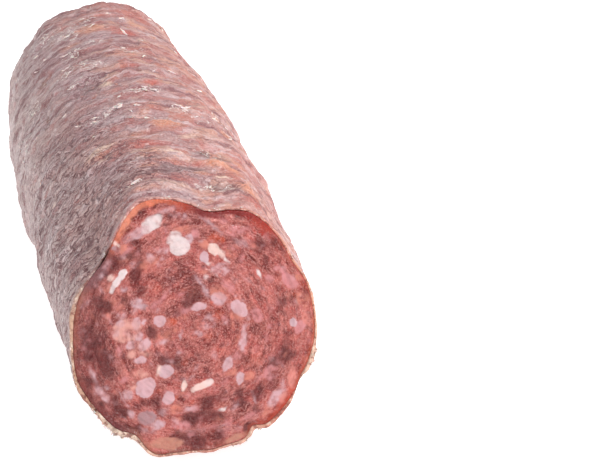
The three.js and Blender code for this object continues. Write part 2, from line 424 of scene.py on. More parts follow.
# %% [markdown]
# ## Colours that belong to a place
#
# Under the casing lie lumps of fat, which dry to orange or peach, and of lean,
# which dry to red. Grey-brown patches lie in the hollows, and the ones low on the
# left by the cut are painted shade. Cream patches are partly dry crumbs and
# partly painted highlights on the knobs, and dry flakes cling to the far half.
# These places are few and large, so each is a named patch with a place and a
# size; noise alone would put them anywhere.

# %% Patches on the casing
# Angle, distance from the cut, strength, spread round, spread along
PATCHES = {
    "orange": [
        (96, 136, 0.8, 6, 4), (66, 144, 0.6, 5, 4), (84, 106, 0.6, 6, 3.5), (109, 127, 0.5, 5, 3),
        (82, 52, 0.8, 4.5, 3), (98, 46, 0.5, 3, 3), (67, 26, 1.0, 2.8, 2.4), (53, 34, 0.7, 3.5, 2.5),
        (54, 13, 0.8, 3.5, 3), (104, 6, 0.5, 6, 1.6), (90, 25, 0.6, 4, 2.0), (95, 97, 0.5, 5, 3),
        (48, 58, 0.5, 4, 5), (40, 84, 0.4, 4, 6), (119, 41, 0.45, 5, 2.6), (112, 58, 0.3, 5, 2),
        (99, 22, 0.6, 2.4, 1.8), (76, 18, 0.7, 2.4, 1.8), (70, 44, 0.6, 2.6, 1.6),
        (58, 24, 0.7, 2.4, 1.8),
    ],
    "red": [
        (78, 133, 0.8, 8, 4), (80, 83, 0.8, 4, 2.5), (95, 37, 0.8, 6, 3.5), (92, 24, 0.6, 6, 2),
        (62, 155, 0.5, 8, 6), (58, 118, 0.4, 9, 9), (44, 88, 0.35, 9, 10), (88, 62, 0.4, 8, 5),
        (46, 40, 0.45, 6, 8), (48, 8, 0.7, 7, 3.5), (76, 8, 0.4, 6, 2.5), (88, 96, 0.6, 5, 3),
        (103, 118, 0.5, 6, 3), (84, 150, 0.6, 7, 4), (72, 26, 0.6, 5, 2.2), (62, 18, 0.6, 6, 2.4),
        (92, 13, 0.5, 8, 1.6), (120, 34, 0.4, 5, 4), (100, 54, 0.5, 7, 3),
    ],
    # Cream patches: partly dry crumbs, partly painted highlights on the knobs and on the ridge by the cut
    "pale": [
        (102, 87, 0.9, 2.2, 1.6), (117, 43, 0.7, 5, 1.8), (118, 38, 0.5, 4, 1.4), (85, 31, 0.8, 3, 1.0),
        (101, 33, 0.6, 2.2, 1.2), (72, 46, 0.5, 3, 1.2), (60, 70, 0.4, 5, 3), (110, 10, 0.5, 3, 1.0),
        (150, 44, 0.4, 2, 3), (66, 17, 0.8, 2.6, 1.4), (92, 9, 0.5, 6, 1.2), (76, 44, 0.6, 3, 1.0),
    ],
    # Grey-brown patches; the two at 204 and 190 degrees, low on the left by the cut, are painted shade
    "dark": [
        (66, 34, 1.0, 6, 3.5), (68, 12, 0.8, 6, 3), (84, 22, 0.6, 6, 1.6), (84, 70, 0.4, 9, 1.6),
        (76, 92, 0.4, 8, 1.6), (109, 88, 0.8, 4, 3), (147, 73, 0.9, 1.6, 1.0), (118, 20, 0.4, 10, 7),
        (100, 16, 0.45, 8, 3), (135, 12, 0.4, 9, 6), (128, 58, 0.4, 6, 3), (135, 125, 0.4, 4, 3),
        (82, 20, 0.6, 9, 2.5), (130, 90, 0.3, 8, 8), (204, 8, 0.8, 6, 14), (190, 4, 0.5, 6, 8),
        (100, 26, 0.5, 5, 2.0), (92, 17, 0.5, 5, 1.6),
    ],
    "cracked": [
        (130, 25, 0.9, 18, 20), (150, 15, 0.8, 12, 18), (125, 60, 0.6, 16, 14), (95, 18, 0.6, 12, 6),
        (110, 90, 0.5, 8, 6), (165, 50, 0.5, 12, 24), (60, 14, 0.4, 9, 8), (200, 30, 0.5, 14, 30),
    ],
    "flaked": [
        (88, 77, 0.9, 4, 1.8), (82, 79, 0.8, 3, 1.6), (72, 65, 0.9, 3, 2), (111, 66, 0.8, 4, 1.6),
        (102, 69, 0.7, 3, 1.5), (93, 58, 0.7, 3, 1.4), (72, 12, 0.6, 5, 2.4), (110, 12, 0.6, 4, 1.6),
        (114, 93, 0.8, 4, 2), (118, 104, 0.9, 4, 3), (103, 102, 0.9, 3, 3), (108, 108, 0.8, 4, 3),
        (143, 103, 0.8, 3, 3), (145, 111, 0.8, 3, 3), (98, 148, 0.8, 4, 3), (110, 138, 0.9, 4, 6),
        (111, 120, 0.9, 4, 4), (97, 123, 0.7, 4, 3), (80, 114, 0.7, 4, 2), (50, 67, 0.7, 4, 3),
        (66, 36, 0.7, 4, 3), (125, 148, 0.6, 7, 8), (160, 90, 0.6, 4, 10), (62, 60, 0.5, 4, 2),
    ],
}
patch_masks = {
    key: np.clip(sum(
        strength * bump(np.radians(turn_between(skin_angle, at)) * CUT_RADIUS, around)
        * bump(depth_from_cut - start, length)
        for at, start, strength, around, length in patches
    ), 0, 1)
    for key, patches in PATCHES.items()
}

# The colour of the casing's cut edge, by angle
EDGE_TINTS = [
    (0, "#dfa48a"), (25, "#cf8d74"), (45, "#c27a68"), (62, "#b97f72"), (75, "#a9736a"), (90, "#c08f84"),
    (110, "#c58c86"), (124, "#b98480"), (134, "#94706c"), (148, "#8d6f6c"), (160, "#c09a84"),
    (180, "#c39a82"), (205, "#bd8f78"), (225, "#d8c0ae"), (250, "#c49480"), (270, "#b8796a"),
    (290, "#d2a591"), (310, "#b36a56"), (340, "#ddb9a4"),
]


def around_tints(table, angle):
    """The colour at each angle, blended between the angles of a table."""
    at = [row[0] for row in table]
    channels = np.array([linear(row[1])[:3] for row in table]).T
    return np.stack([np.interp(angle, at, channel, period=360) for channel in channels], axis=-1)


casing = ringed_mesh(
    "dried_casing",
    place(LENGTH - CASING_WALL, 0, 0, 0),
    rings,
    place(LENGTH + NUB_LENGTH, 0, 0, 0),
    {
        "loose": loose, "outside": on_outside, "depth": depth_from_cut,
        "edge_tint": around_tints(EDGE_TINTS, skin_angle) + np.zeros(rings.shape), **patch_masks,
    },
)
print("casing has", len(casing.data.vertices), "points")

# %% [markdown]
# ## What dried casing looks like
#
# Cured collagen casing is translucent and greyish mauve over dark meat, with a
# dry, faintly waxy surface: roughness 0.34 on ridges to 0.55 in folds, IOR 1.45.
# The eye reads it by its fine cracked creases, which run round the sausage, and
# by pale flakes on the ridges. The creases are the borders of Voronoi cells that
# are more than four times as long round the sausage as along it. Plain noise
# gives hairs there, not forked cracks.


# %% Material of the casing
def casing_material():
    material, tree, where = new_material("dried collagen casing")

    # A wobble, so that creases wander instead of running straight
    wobble = add(tree, "ShaderNodeTexNoise", {
        "Vector": where, "Scale": per_mm(5), "Detail": 4, "Roughness": 0.6,
    })
    centred = add(tree, "ShaderNodeVectorMath", {0: wobble.outputs["Color"], 1: (0.5, 0.5, 0.5)},
                  operation="SUBTRACT")
    warped = add(tree, "ShaderNodeVectorMath", {
        0: centred.outputs[0], 1: (4 * MM, 6 * MM, 4 * MM), 2: where,
    }, operation="MULTIPLY_ADD").outputs[0]

    # Each noise with its size along the sausage and round it, in millimetres, and its detail
    noise = {}
    for key, source, along, around, detail in (
        ("folds", warped, 2.6, 13.0, 3), ("streaks", warped, 0.7, 3.0, 3), ("veil", warped, 2.0, 4.0, 3),
        ("grain", where, 0.55, 0.55, 2), ("speckle", where, 1.3, 1.3, 3), ("blotch", where, 5, 5, 4),
        ("cloudy", where, 16, 16, 3),
    ):
        squeezed = add(tree, "ShaderNodeMapping", {
            "Vector": source, "Scale": (per_mm(around), per_mm(along), per_mm(around)),
        })
        noise[key] = add(tree, "ShaderNodeTexNoise", {
            "Vector": squeezed.outputs[0], "Scale": 1.0, "Detail": detail, "Roughness": 0.6,
        }).outputs["Fac"]
    noise["side"] = add(tree, "ShaderNodeSeparateXYZ", {"Vector": where}).outputs["X"]
    for key in ("outside", "depth"):
        noise[key] = add(tree, "ShaderNodeAttribute", attribute_name=key).outputs["Fac"]

    # Grains of fat and lean that shine through, on the top and the right
    grains = add(tree, "ShaderNodeMapping", {
        "Vector": warped, "Scale": (per_mm(5.5), per_mm(3.4), per_mm(5.5)),
    })
    tone = add(tree, "ShaderNodeTexVoronoi", {
        "Vector": grains.outputs[0], "Scale": 1.0, "Smoothness": 0.4,
    }, feature="SMOOTH_F1").outputs["Color"]
    channels = add(tree, "ShaderNodeSeparateColor", {0: tone}).outputs
    thin_skin = add(tree, "ShaderNodeMapRange", {
        "Value": noise["side"], "From Min": -0.022, "From Max": 0.002, "To Min": 0.25, "To Max": 1.0,
    }, interpolation_type="SMOOTHSTEP").outputs[0]
    shrivelled = add(tree, "ShaderNodeMapRange", {
        "Value": noise["side"], "From Min": -0.016, "From Max": 0.012, "To Min": 1.05, "To Max": 0.7,
    }, interpolation_type="SMOOTHSTEP").outputs[0]
    for key, channel in (("fat grains", 0), ("lean grains", 1)):
        noise[key] = add(tree, "ShaderNodeMath", {0: channels[channel], 1: thin_skin},
                         operation="MULTIPLY").outputs[0]

    # The named patches, their borders broken up by noise
    rough = add(tree, "ShaderNodeMath", {0: noise["blotch"], 1: noise["veil"]}, operation="ADD")
    for key in PATCHES:
        patch = add(tree, "ShaderNodeAttribute", attribute_name=key).outputs["Fac"]
        noise[key] = add(tree, "ShaderNodeMath", {0: patch, 1: rough.outputs[0]},
                         operation="MULTIPLY").outputs[0]

    # Creases: the borders of long cells, clearest where the casing is cracked
    cells = add(tree, "ShaderNodeMapping", {
        "Vector": warped, "Scale": (per_mm(5.0), per_mm(1.15), per_mm(5.0)),
    })
    pillow = add(tree, "ShaderNodeTexVoronoi", {"Vector": cells.outputs[0], "Scale": 1.0},
                 feature="DISTANCE_TO_EDGE").outputs["Distance"]
    border = add(tree, "ShaderNodeMapRange", {
        "Value": pillow, "From Min": 0.12, "From Max": 0.0, "To Min": 0.0, "To Max": 1.0,
    }, interpolation_type="SMOOTHSTEP").outputs[0]
    where_cracked = add(tree, "ShaderNodeMath", {0: noise["cracked"], 1: 0.22}, operation="ADD")
    noise["crack"] = add(tree, "ShaderNodeMath", {0: border, 1: where_cracked.outputs[0]},
                         operation="MULTIPLY").outputs[0]

    # Flakes: thin broken lines, where a noise crosses its middle value
    from_middle = add(tree, "ShaderNodeMath", {0: noise["veil"], 1: 0.5}, operation="SUBTRACT")
    off_line = add(tree, "ShaderNodeMath", {0: from_middle.outputs[0]}, operation="ABSOLUTE")
    noise["flake"] = add(tree, "ShaderNodeMath", {0: noise["flaked"], 1: 0.08}, operation="ADD").outputs[0]
    for value, start, end in ((off_line.outputs[0], 0.045, 0.015), (noise["speckle"], 0.44, 0.54)):
        kept = add(tree, "ShaderNodeMapRange", {
            "Value": value, "From Min": start, "From Max": end, "To Min": 0.0, "To Max": 1.0,
        }, interpolation_type="SMOOTHSTEP")
        noise["flake"] = add(tree, "ShaderNodeMath", {0: noise["flake"], 1: kept.outputs[0]},
                             operation="MULTIPLY").outputs[0]

    # Tints laid over each other: which value, from where to where, how strong at most
    colour = linear("#a78789")
    for key, start, end, strength, tint in (
        # Lighter and pinker towards the right: partly the casing's own redder colour, partly painted light
        # where the key light falls
        ("cloudy", 0.42, 0.66, 0.75, "#b6877e"), ("side", -0.004, 0.026, 0.7, "#c28d85"),
        ("side", -0.014, -0.032, 0.75, "#b8a4a2"), ("blotch", 0.52, 0.70, 0.65, "#a05c56"),
        ("fat grains", 0.50, 0.78, 0.42, "#d19a7f"), ("lean grains", 0.50, 0.78, 0.50, "#a95a52"),
        # The folds are painted darker in their hollows as painted shade, and paler on their crests as a
        # painted sheen
        ("folds", 0.50, 0.32, 0.85, "#7c5054"), ("folds", 0.52, 0.68, 0.70, "#ccb4b6"),
        ("red", 0.10, 0.9, 0.80, "#b2594e"), ("orange", 0.10, 0.9, 0.80, "#d38e70"),
        # Grey-brown patches, painted shade low on the left by the cut, and cream patches, partly painted
        # highlights on knobs
        ("dark", 0.2, 0.9, 0.70, "#735a59"), ("pale", 0.15, 0.8, 0.90, "#e6c7b4"),
        ("streaks", 0.48, 0.30, 0.65, "#744749"), ("streaks", 0.54, 0.70, 0.50, "#d6c2c2"),
        ("crack", 0.15, 0.75, 0.80, "#60363a"), ("grain", 0.50, 0.30, 0.35, "#6f4c50"),
        # The grain's pale specks are partly pale flecks in the skin and partly painted sparkle
        ("grain", 0.52, 0.72, 0.35, "#decccb"), ("flake", 0.15, 0.5, 0.75, "#eaddd8"),
    ):
        amount = add(tree, "ShaderNodeMapRange", {
            "Value": noise[key], "From Min": start, "From Max": end, "To Min": 0.0, "To Max": strength,
        }, interpolation_type="SMOOTHSTEP")
        if key in ("streaks", "crack", "grain"):
            amount = add(tree, "ShaderNodeMath", {0: amount.outputs[0], 1: shrivelled},
                         operation="MULTIPLY")
        colour = add(tree, "ShaderNodeMix", {0: amount.outputs[0], 6: colour, 7: linear(tint)},
                     data_type="RGBA").outputs[2]
    # The cut edge has its own colours, and a little of them shows on the outside too
    edge_tint = add(tree, "ShaderNodeAttribute", attribute_name="edge_tint").outputs["Color"]
    for key, start, end, strength in (("depth", 1.8, 0.2, 0.55), ("outside", 0.9, 0.1, 0.85)):
        amount = add(tree, "ShaderNodeMapRange", {
            "Value": noise[key], "From Min": start, "From Max": end, "To Min": 0.0, "To Max": strength,
        }, interpolation_type="SMOOTHSTEP")
        broken = add(tree, "ShaderNodeMath", {0: amount.outputs[0], 1: rough.outputs[0]},
                     operation="MULTIPLY", use_clamp=True)
        colour = add(tree, "ShaderNodeMix", {0: broken.outputs[0], 6: colour, 7: edge_tint},
                     data_type="RGBA").outputs[2]
    within = add(tree, "ShaderNodeMapRange", {
        "Value": noise["outside"], "From Min": 0.9, "From Max": 0.1, "To Min": 0.0, "To Max": 1.0,
    }).outputs[0]
    for key, start, end, strength, tint in (
        ("speckle", 0.50, 0.38, 0.8, "#7a3f36"), ("speckle", 0.56, 0.70, 0.7, "#e6d3c2"),
    ):
        amount = add(tree, "ShaderNodeMapRange", {
            "Value": noise[key], "From Min": start, "From Max": end, "To Min": 0.0, "To Max": strength,
        }, interpolation_type="SMOOTHSTEP")
        there = add(tree, "ShaderNodeMath", {0: amount.outputs[0], 1: within}, operation="MULTIPLY")
        colour = add(tree, "ShaderNodeMix", {0: there.outputs[0], 6: colour, 7: linear(tint)},
                     data_type="RGBA").outputs[2]

    # The height of all these together, in metres
    height = 0.0
    for value, size in (
        (pillow, 0.45 * MM), (noise["folds"], 2.3 * MM), (noise["streaks"], 0.45 * MM),
        (noise["grain"], 0.10 * MM), (noise["flake"], 0.20 * MM),
    ):
        height = add(tree, "ShaderNodeMath", {0: value, 1: size, 2: height},
                     operation="MULTIPLY_ADD").outputs[0]
    relief = add(tree, "ShaderNodeBump", {"Strength": shrivelled, "Distance": 1.0, "Height": height})
    shine = add(tree, "ShaderNodeMapRange", {
        "Value": noise["folds"], "From Min": 0.3, "From Max": 0.7, "To Min": 0.55, "To Max": 0.34,
    })
    shader = add(tree, "ShaderNodeBsdfPrincipled", {
        "Base Color": colour, "Roughness": shine.outputs[0], "IOR": 1.45, "Normal": relief.outputs[0],
        "Subsurface Weight": 0.08, "Subsurface Radius": (1.0, 0.4, 0.3), "Subsurface Scale": 1.0 * MM,
    })
    add(tree, "ShaderNodeOutputMaterial", {"Surface": shader.outputs[0]})
    return material


casing_finish = casing_material()
print("casing's finish has", len(casing_finish.node_tree.nodes), "nodes")

# %% [markdown]
# ## Creases in the mesh
#
# The wrinkles that are wide enough to catch the light are real relief. A
# Geometry Nodes tree moves every point along its normal. Creases are sharp
# furrows along the lines where a noise crosses its middle value; dimples are a
# rounder noise. The inputs are named, so spacing and depth can be tried by
# hand. A Displace modifier could do the same for one noise, but not squeeze it
# along the axis.


# %% Geometry Nodes: dried skin relief
def new_tree(name, inputs):
    """An empty tree that takes and gives geometry, with named inputs and a material."""
    tree = bpy.data.node_groups.new(name, "GeometryNodeTree")
    tree.interface.new_socket("Geometry", in_out="INPUT", socket_type="NodeSocketGeometry")
    for key, value in inputs.items():
        socket = tree.interface.new_socket(key, in_out="INPUT", socket_type="NodeSocketFloat")
        socket.default_value = value
    tree.interface.new_socket("Material", in_out="INPUT", socket_type="NodeSocketMaterial")
    tree.interface.new_socket("Geometry", in_out="OUTPUT", socket_type="NodeSocketGeometry")
    return tree, add(tree, "NodeGroupInput").outputs


def skin_relief_tree():
    tree, given = new_tree("dried skin relief", {
        "Crease spacing": 3.2 * MM, "Crease length": 9 * MM, "Crease depth": 0.40 * MM,
        "Dimple spacing": 5.5 * MM, "Dimple depth": 2.2 * MM, "Seed": 3.0,
    })
    here = add(tree, "GeometryNodeInputPosition").outputs[0]
    wobble = add(tree, "ShaderNodeTexNoise", {"Vector": here, "Scale": per_mm(9), "Detail": 2})
    drift = add(tree, "ShaderNodeVectorMath", {
        0: wobble.outputs["Color"], 1: (4 * MM, 9 * MM, 4 * MM), 2: here,
    }, operation="MULTIPLY_ADD").outputs[0]
    one_over = [
        add(tree, "ShaderNodeMath", {0: 1.0, 1: given[name]}, operation="DIVIDE").outputs[0]
        for name in ("Crease spacing", "Crease length", "Dimple spacing")
    ]
    squeeze = add(tree, "ShaderNodeCombineXYZ", {"X": one_over[1], "Y": one_over[0], "Z": one_over[1]})
    squeezed = add(tree, "ShaderNodeVectorMath", {0: drift, 1: squeeze.outputs[0]}, operation="MULTIPLY")
    crease, dimple = (
        add(tree, "ShaderNodeTexNoise", {
            "Vector": vector, "W": given["Seed"], "Scale": scale, "Detail": 2, "Roughness": 0.5,
        }, noise_dimensions="4D").outputs["Fac"]
        for vector, scale in ((squeezed.outputs[0], 1.0), (here, one_over[2]))
    )
    centred = [
        add(tree, "ShaderNodeMath", {0: value, 1: 0.5}, operation="SUBTRACT").outputs[0]
        for value in (crease, dimple)
    ]
    off_line = add(tree, "ShaderNodeMath", {0: centred[0]}, operation="ABSOLUTE")
    furrow = add(tree, "ShaderNodeMapRange", {
        "Value": off_line.outputs[0], "From Min": 0.0, "From Max": 0.09, "To Min": -1.0, "To Max": 0.0,
    }, interpolation_type="SMOOTHSTEP")
    height = 0.0
    for value, name in ((furrow.outputs[0], "Crease depth"), (centred[1], "Dimple depth")):
        height = add(tree, "ShaderNodeMath", {0: value, 1: given[name], 2: height},
                     operation="MULTIPLY_ADD").outputs[0]
    loose_here = add(tree, "GeometryNodeInputNamedAttribute", {"Name": "loose"}, data_type="FLOAT")
    height = add(tree, "ShaderNodeMath", {0: height, 1: loose_here.outputs[0]}, operation="MULTIPLY")
    normal = add(tree, "GeometryNodeInputNormal").outputs[0]
    offset = add(tree, "ShaderNodeVectorMath", {0: normal, "Scale": height.outputs[0]}, operation="SCALE")
    moved = add(tree, "GeometryNodeSetPosition", {
        "Geometry": given["Geometry"], "Offset": offset.outputs[0],
    })
    real = add(tree, "GeometryNodeRealizeInstances", {"Geometry": moved.outputs[0]})
    dressed = add(tree, "GeometryNodeSetMaterial", {
        "Geometry": real.outputs[0], "Material": given["Material"],
    })
    add(tree, "NodeGroupOutput", {"Geometry": dressed.outputs[0]})
    return tree


def apply_tree(piece, tree, values):
    """Runs a tree on a piece, keeps the result as its plain mesh and takes the modifier off."""
    modifier = piece.modifiers.new(tree.name, "NODES")
    modifier.node_group = tree
    sockets = [item for item in tree.interface.items_tree if item.in_out == "INPUT"]
    identifiers = {socket.name: socket.identifier for socket in sockets}
    for name, value in values.items():
        modifier[identifiers[name]] = value
    evaluated = piece.evaluated_get(bpy.context.evaluated_depsgraph_get())
    mesh = bpy.data.meshes.new_from_object(evaluated)
    mesh.name = piece.name
    piece.modifiers.remove(modifier)
    piece.data = mesh
    print(piece.name, "has", len(mesh.vertices), "points and", len(mesh.polygons), "faces")


apply_tree(casing, skin_relief_tree(), {"Material": casing_finish})

# %% [markdown]
# ## Dry scraps and shreds
#
# Where the casing has dried out it sheds small flakes, and where the knife tore
# it the edge is frayed. Each scrap is one flattened, curled sliver that a
# Geometry Nodes tree copies to a point, turns to lie along the skin, makes real
# and then crumples, so that no two are alike.

# %% Geometry Nodes: dried scraps
# Angle and distance from the cut of the places where flakes cling
SCRAP_PLACES = [patch[:2] for patch in PATCHES["flaked"]]
# Angle, spread and number of the shreds along the frayed stretches of the edge
SHRED_PLACES = [
    (222, 14, 26), (342, 8, 10), (185, 14, 8), (290, 10, 8), (80, 20, 8), (20, 14, 6), (137, 3, 6),
]


def scraps_tree():
    tree, given = new_tree("dried scraps", {
        "Length": 2.6 * MM, "Width": 0.75 * MM, "Thickness": 0.2 * MM, "Curl": 0.3 * MM,
        "Crumple": 1.6 * MM,
    })
    ball = add(tree, "GeometryNodeMeshUVSphere", {"Segments": 10, "Rings": 6, "Radius": 0.5})
    size = add(tree, "ShaderNodeCombineXYZ", {
        "X": given["Length"], "Y": given["Width"], "Z": given["Thickness"],
    })
    flat = add(tree, "GeometryNodeTransform", {"Geometry": ball.outputs[0], "Scale": size.outputs[0]})
    here = add(tree, "GeometryNodeInputPosition").outputs[0]
    parts = add(tree, "ShaderNodeSeparateXYZ", {"Vector": here})
    share = add(tree, "ShaderNodeMath", {0: parts.outputs["X"], 1: given["Length"]}, operation="DIVIDE")
    squared = add(tree, "ShaderNodeMath", {0: share.outputs[0], 1: share.outputs[0]}, operation="MULTIPLY")
    curl = add(tree, "ShaderNodeMath", {0: squared.outputs[0], 1: given["Curl"]}, operation="MULTIPLY")
    up = add(tree, "ShaderNodeCombineXYZ", {"Z": curl.outputs[0]})
    sliver = add(tree, "GeometryNodeSetPosition", {"Geometry": flat.outputs[0], "Offset": up.outputs[0]})

    outwards, grain = (
        add(tree, "GeometryNodeInputNamedAttribute", {"Name": name}, data_type="FLOAT_VECTOR").outputs[0]
        for name in ("outwards", "grain")
    )
    scale = add(tree, "GeometryNodeInputNamedAttribute", {"Name": "scale"}, data_type="FLOAT").outputs[0]
    level = add(tree, "FunctionNodeAlignRotationToVector", {"Vector": outwards}, axis="Z")
    turned = add(tree, "FunctionNodeAlignRotationToVector", {"Rotation": level.outputs[0], "Vector": grain},
                 axis="X", pivot_axis="Z")
    copies = add(tree, "GeometryNodeInstanceOnPoints", {
        "Points": given["Geometry"], "Instance": sliver.outputs[0], "Rotation": turned.outputs[0],
        "Scale": scale,
    })
    real = add(tree, "GeometryNodeRealizeInstances", {"Geometry": copies.outputs[0]})
    ripple = add(tree, "ShaderNodeTexNoise", {"Vector": here, "Scale": per_mm(1.1), "Detail": 2})
    centred = add(tree, "ShaderNodeVectorMath", {0: ripple.outputs["Color"], 1: (0.5, 0.5, 0.5)},
                  operation="SUBTRACT")
    crumple = add(tree, "ShaderNodeVectorMath", {0: centred.outputs[0], "Scale": given["Crumple"]},
                  operation="SCALE")
    crumpled = add(tree, "GeometryNodeSetPosition", {
        "Geometry": real.outputs[0], "Offset": crumple.outputs[0],
    })
    dressed = add(tree, "GeometryNodeSetMaterial", {
        "Geometry": crumpled.outputs[0], "Material": given["Material"],
    })
    add(tree, "NodeGroupOutput", {"Geometry": dressed.outputs[0]})
    return tree


def on_skin(angle, along):
    """The point of the skin at an angle and a distance from the cut, and which way it faces."""
    row = hidden_rings + int(np.argmin(abs(outer_stations - along)))
    corner = casing.data.vertices[1 + row * SKIN_AROUND + round(angle / 360 * SKIN_AROUND) % SKIN_AROUND]
    return corner.co.copy(), corner.normal.copy()


SCRAPS_PER_PLACE = 3
PLACE_SPREAD = (5, 2.2)
STRAY_SCRAPS = 80
STRAYS = {"middle": 90, "spread": 75, "start": 45, "reach": 120, "crowding": 0.8}
# The smallest size of a flake and a shred, and how much is added at most
FLAKE_SIZE = (0.4, 1.0)
SHRED_SIZE = (0.35, 0.5)


def scatter_scraps(seed):
    """Points with a direction to face, a direction to lie along and a size."""
    draws = seeded_draws(seed)
    scraps = []
    for angle, along in SCRAP_PLACES * SCRAPS_PER_PLACE + [(None, None)] * STRAY_SCRAPS:
        if angle is None:
            angle = STRAYS["middle"] + STRAYS["spread"] * (2 * next(draws) - 1)
            along = STRAYS["start"] + STRAYS["reach"] * next(draws) ** STRAYS["crowding"]
        else:
            angle = angle + PLACE_SPREAD[0] * (2 * next(draws) - 1)
            along = along + PLACE_SPREAD[1] * (2 * next(draws) - 1)
        spot, outwards = on_skin(angle, min(along, LENGTH - DOME))
        round_it = outwards.cross(Vector((0, 1, 0))).normalized()
        grain = round_it + Vector((0, 1, 0)) * 1.6 * (2 * next(draws) - 1)
        scraps.append((spot, outwards, grain, FLAKE_SIZE[0] + FLAKE_SIZE[1] * next(draws) ** 2))
    for at, spread, count in SHRED_PLACES:
        for _ in range(count):
            spot, outwards = on_skin(at + spread * (2 * next(draws) - 1), 0.25)
            around = outwards.cross(Vector((0, 1, 0)))
            grain = 0.9 * (2 * next(draws) - 1) * around + 0.7 * outwards * next(draws)
            grain = grain + Vector((0, -0.7, 0))
            scraps.append((spot, outwards, grain, SHRED_SIZE[0] + SHRED_SIZE[1] * next(draws)))
    return scraps


scraps = scatter_scraps(57)
scrap_mesh = bpy.data.meshes.new("dried_scraps")
scrap_mesh.from_pydata([spot for spot, *_ in scraps], [], [])
for place_in_row, key in ((1, "outwards"), (2, "grain")):
    values = [part for row in scraps for part in row[place_in_row]]
    scrap_mesh.attributes.new(key, "FLOAT_VECTOR", "POINT").data.foreach_set("vector", values)
scrap_mesh.attributes.new("scale", "FLOAT", "POINT").data.foreach_set("value", [row[3] for row in scraps])
scrap_piece = bpy.data.objects.new("dried_scraps", scrap_mesh)
bpy.context.scene.collection.objects.link(scrap_piece)

# Dry collagen flakes: matt, cream, letting a little light through
scrap_finish = bpy.data.materials.new("dry collagen flakes")
scrap_finish.use_nodes = True
scrap_tree = scrap_finish.node_tree
scrap_shader = scrap_tree.nodes["Principled BSDF"]
fleck = add(scrap_tree, "ShaderNodeTexNoise", {
    "Vector": add(scrap_tree, "ShaderNodeTexCoord").outputs["Object"], "Scale": per_mm(2.5),
})
flake_colour = add(scrap_tree, "ShaderNodeMix", {
    0: fleck.outputs["Fac"], 6: linear("#cdb4ad"), 7: linear("#eadedb"),
}, data_type="RGBA")
scrap_tree.links.new(flake_colour.outputs[2], scrap_shader.inputs["Base Color"])
scrap_shader.inputs["Roughness"].default_value = 0.55
scrap_shader.inputs["Subsurface Weight"].default_value = 0.3
scrap_shader.inputs["Subsurface Scale"].default_value = 0.5 * MM
apply_tree(scrap_piece, scraps_tree(), {"Material": scrap_finish})

# %% [markdown]
# ## Fat and lean at the cut
#
# A knife has gone through chopped fat and lean, so the cut shows islands of fat
# of every size in dark red meat, lying along rings because the stuffing turned
# as it went in. The large islands are listed as tilted ovals, each with
# a tint; the small ones are drawn at random with a fixed seed, along the rings.
# A texture alone gives either dots or clouds, never this mix.

# %% The large islands of fat, measured on the cut face
FAT_TINTS = {
    "white": "#d2bfbf", "cream": "#dcbbb3", "lavender": "#bd9aa0", "rose": "#c07c7e", "shell": "#c39a9f",
    "peach": "#c27566", "apricot": "#cd9288", "tan": "#b07766", "salmon": "#cc7d73", "grey": "#9c777b",
}
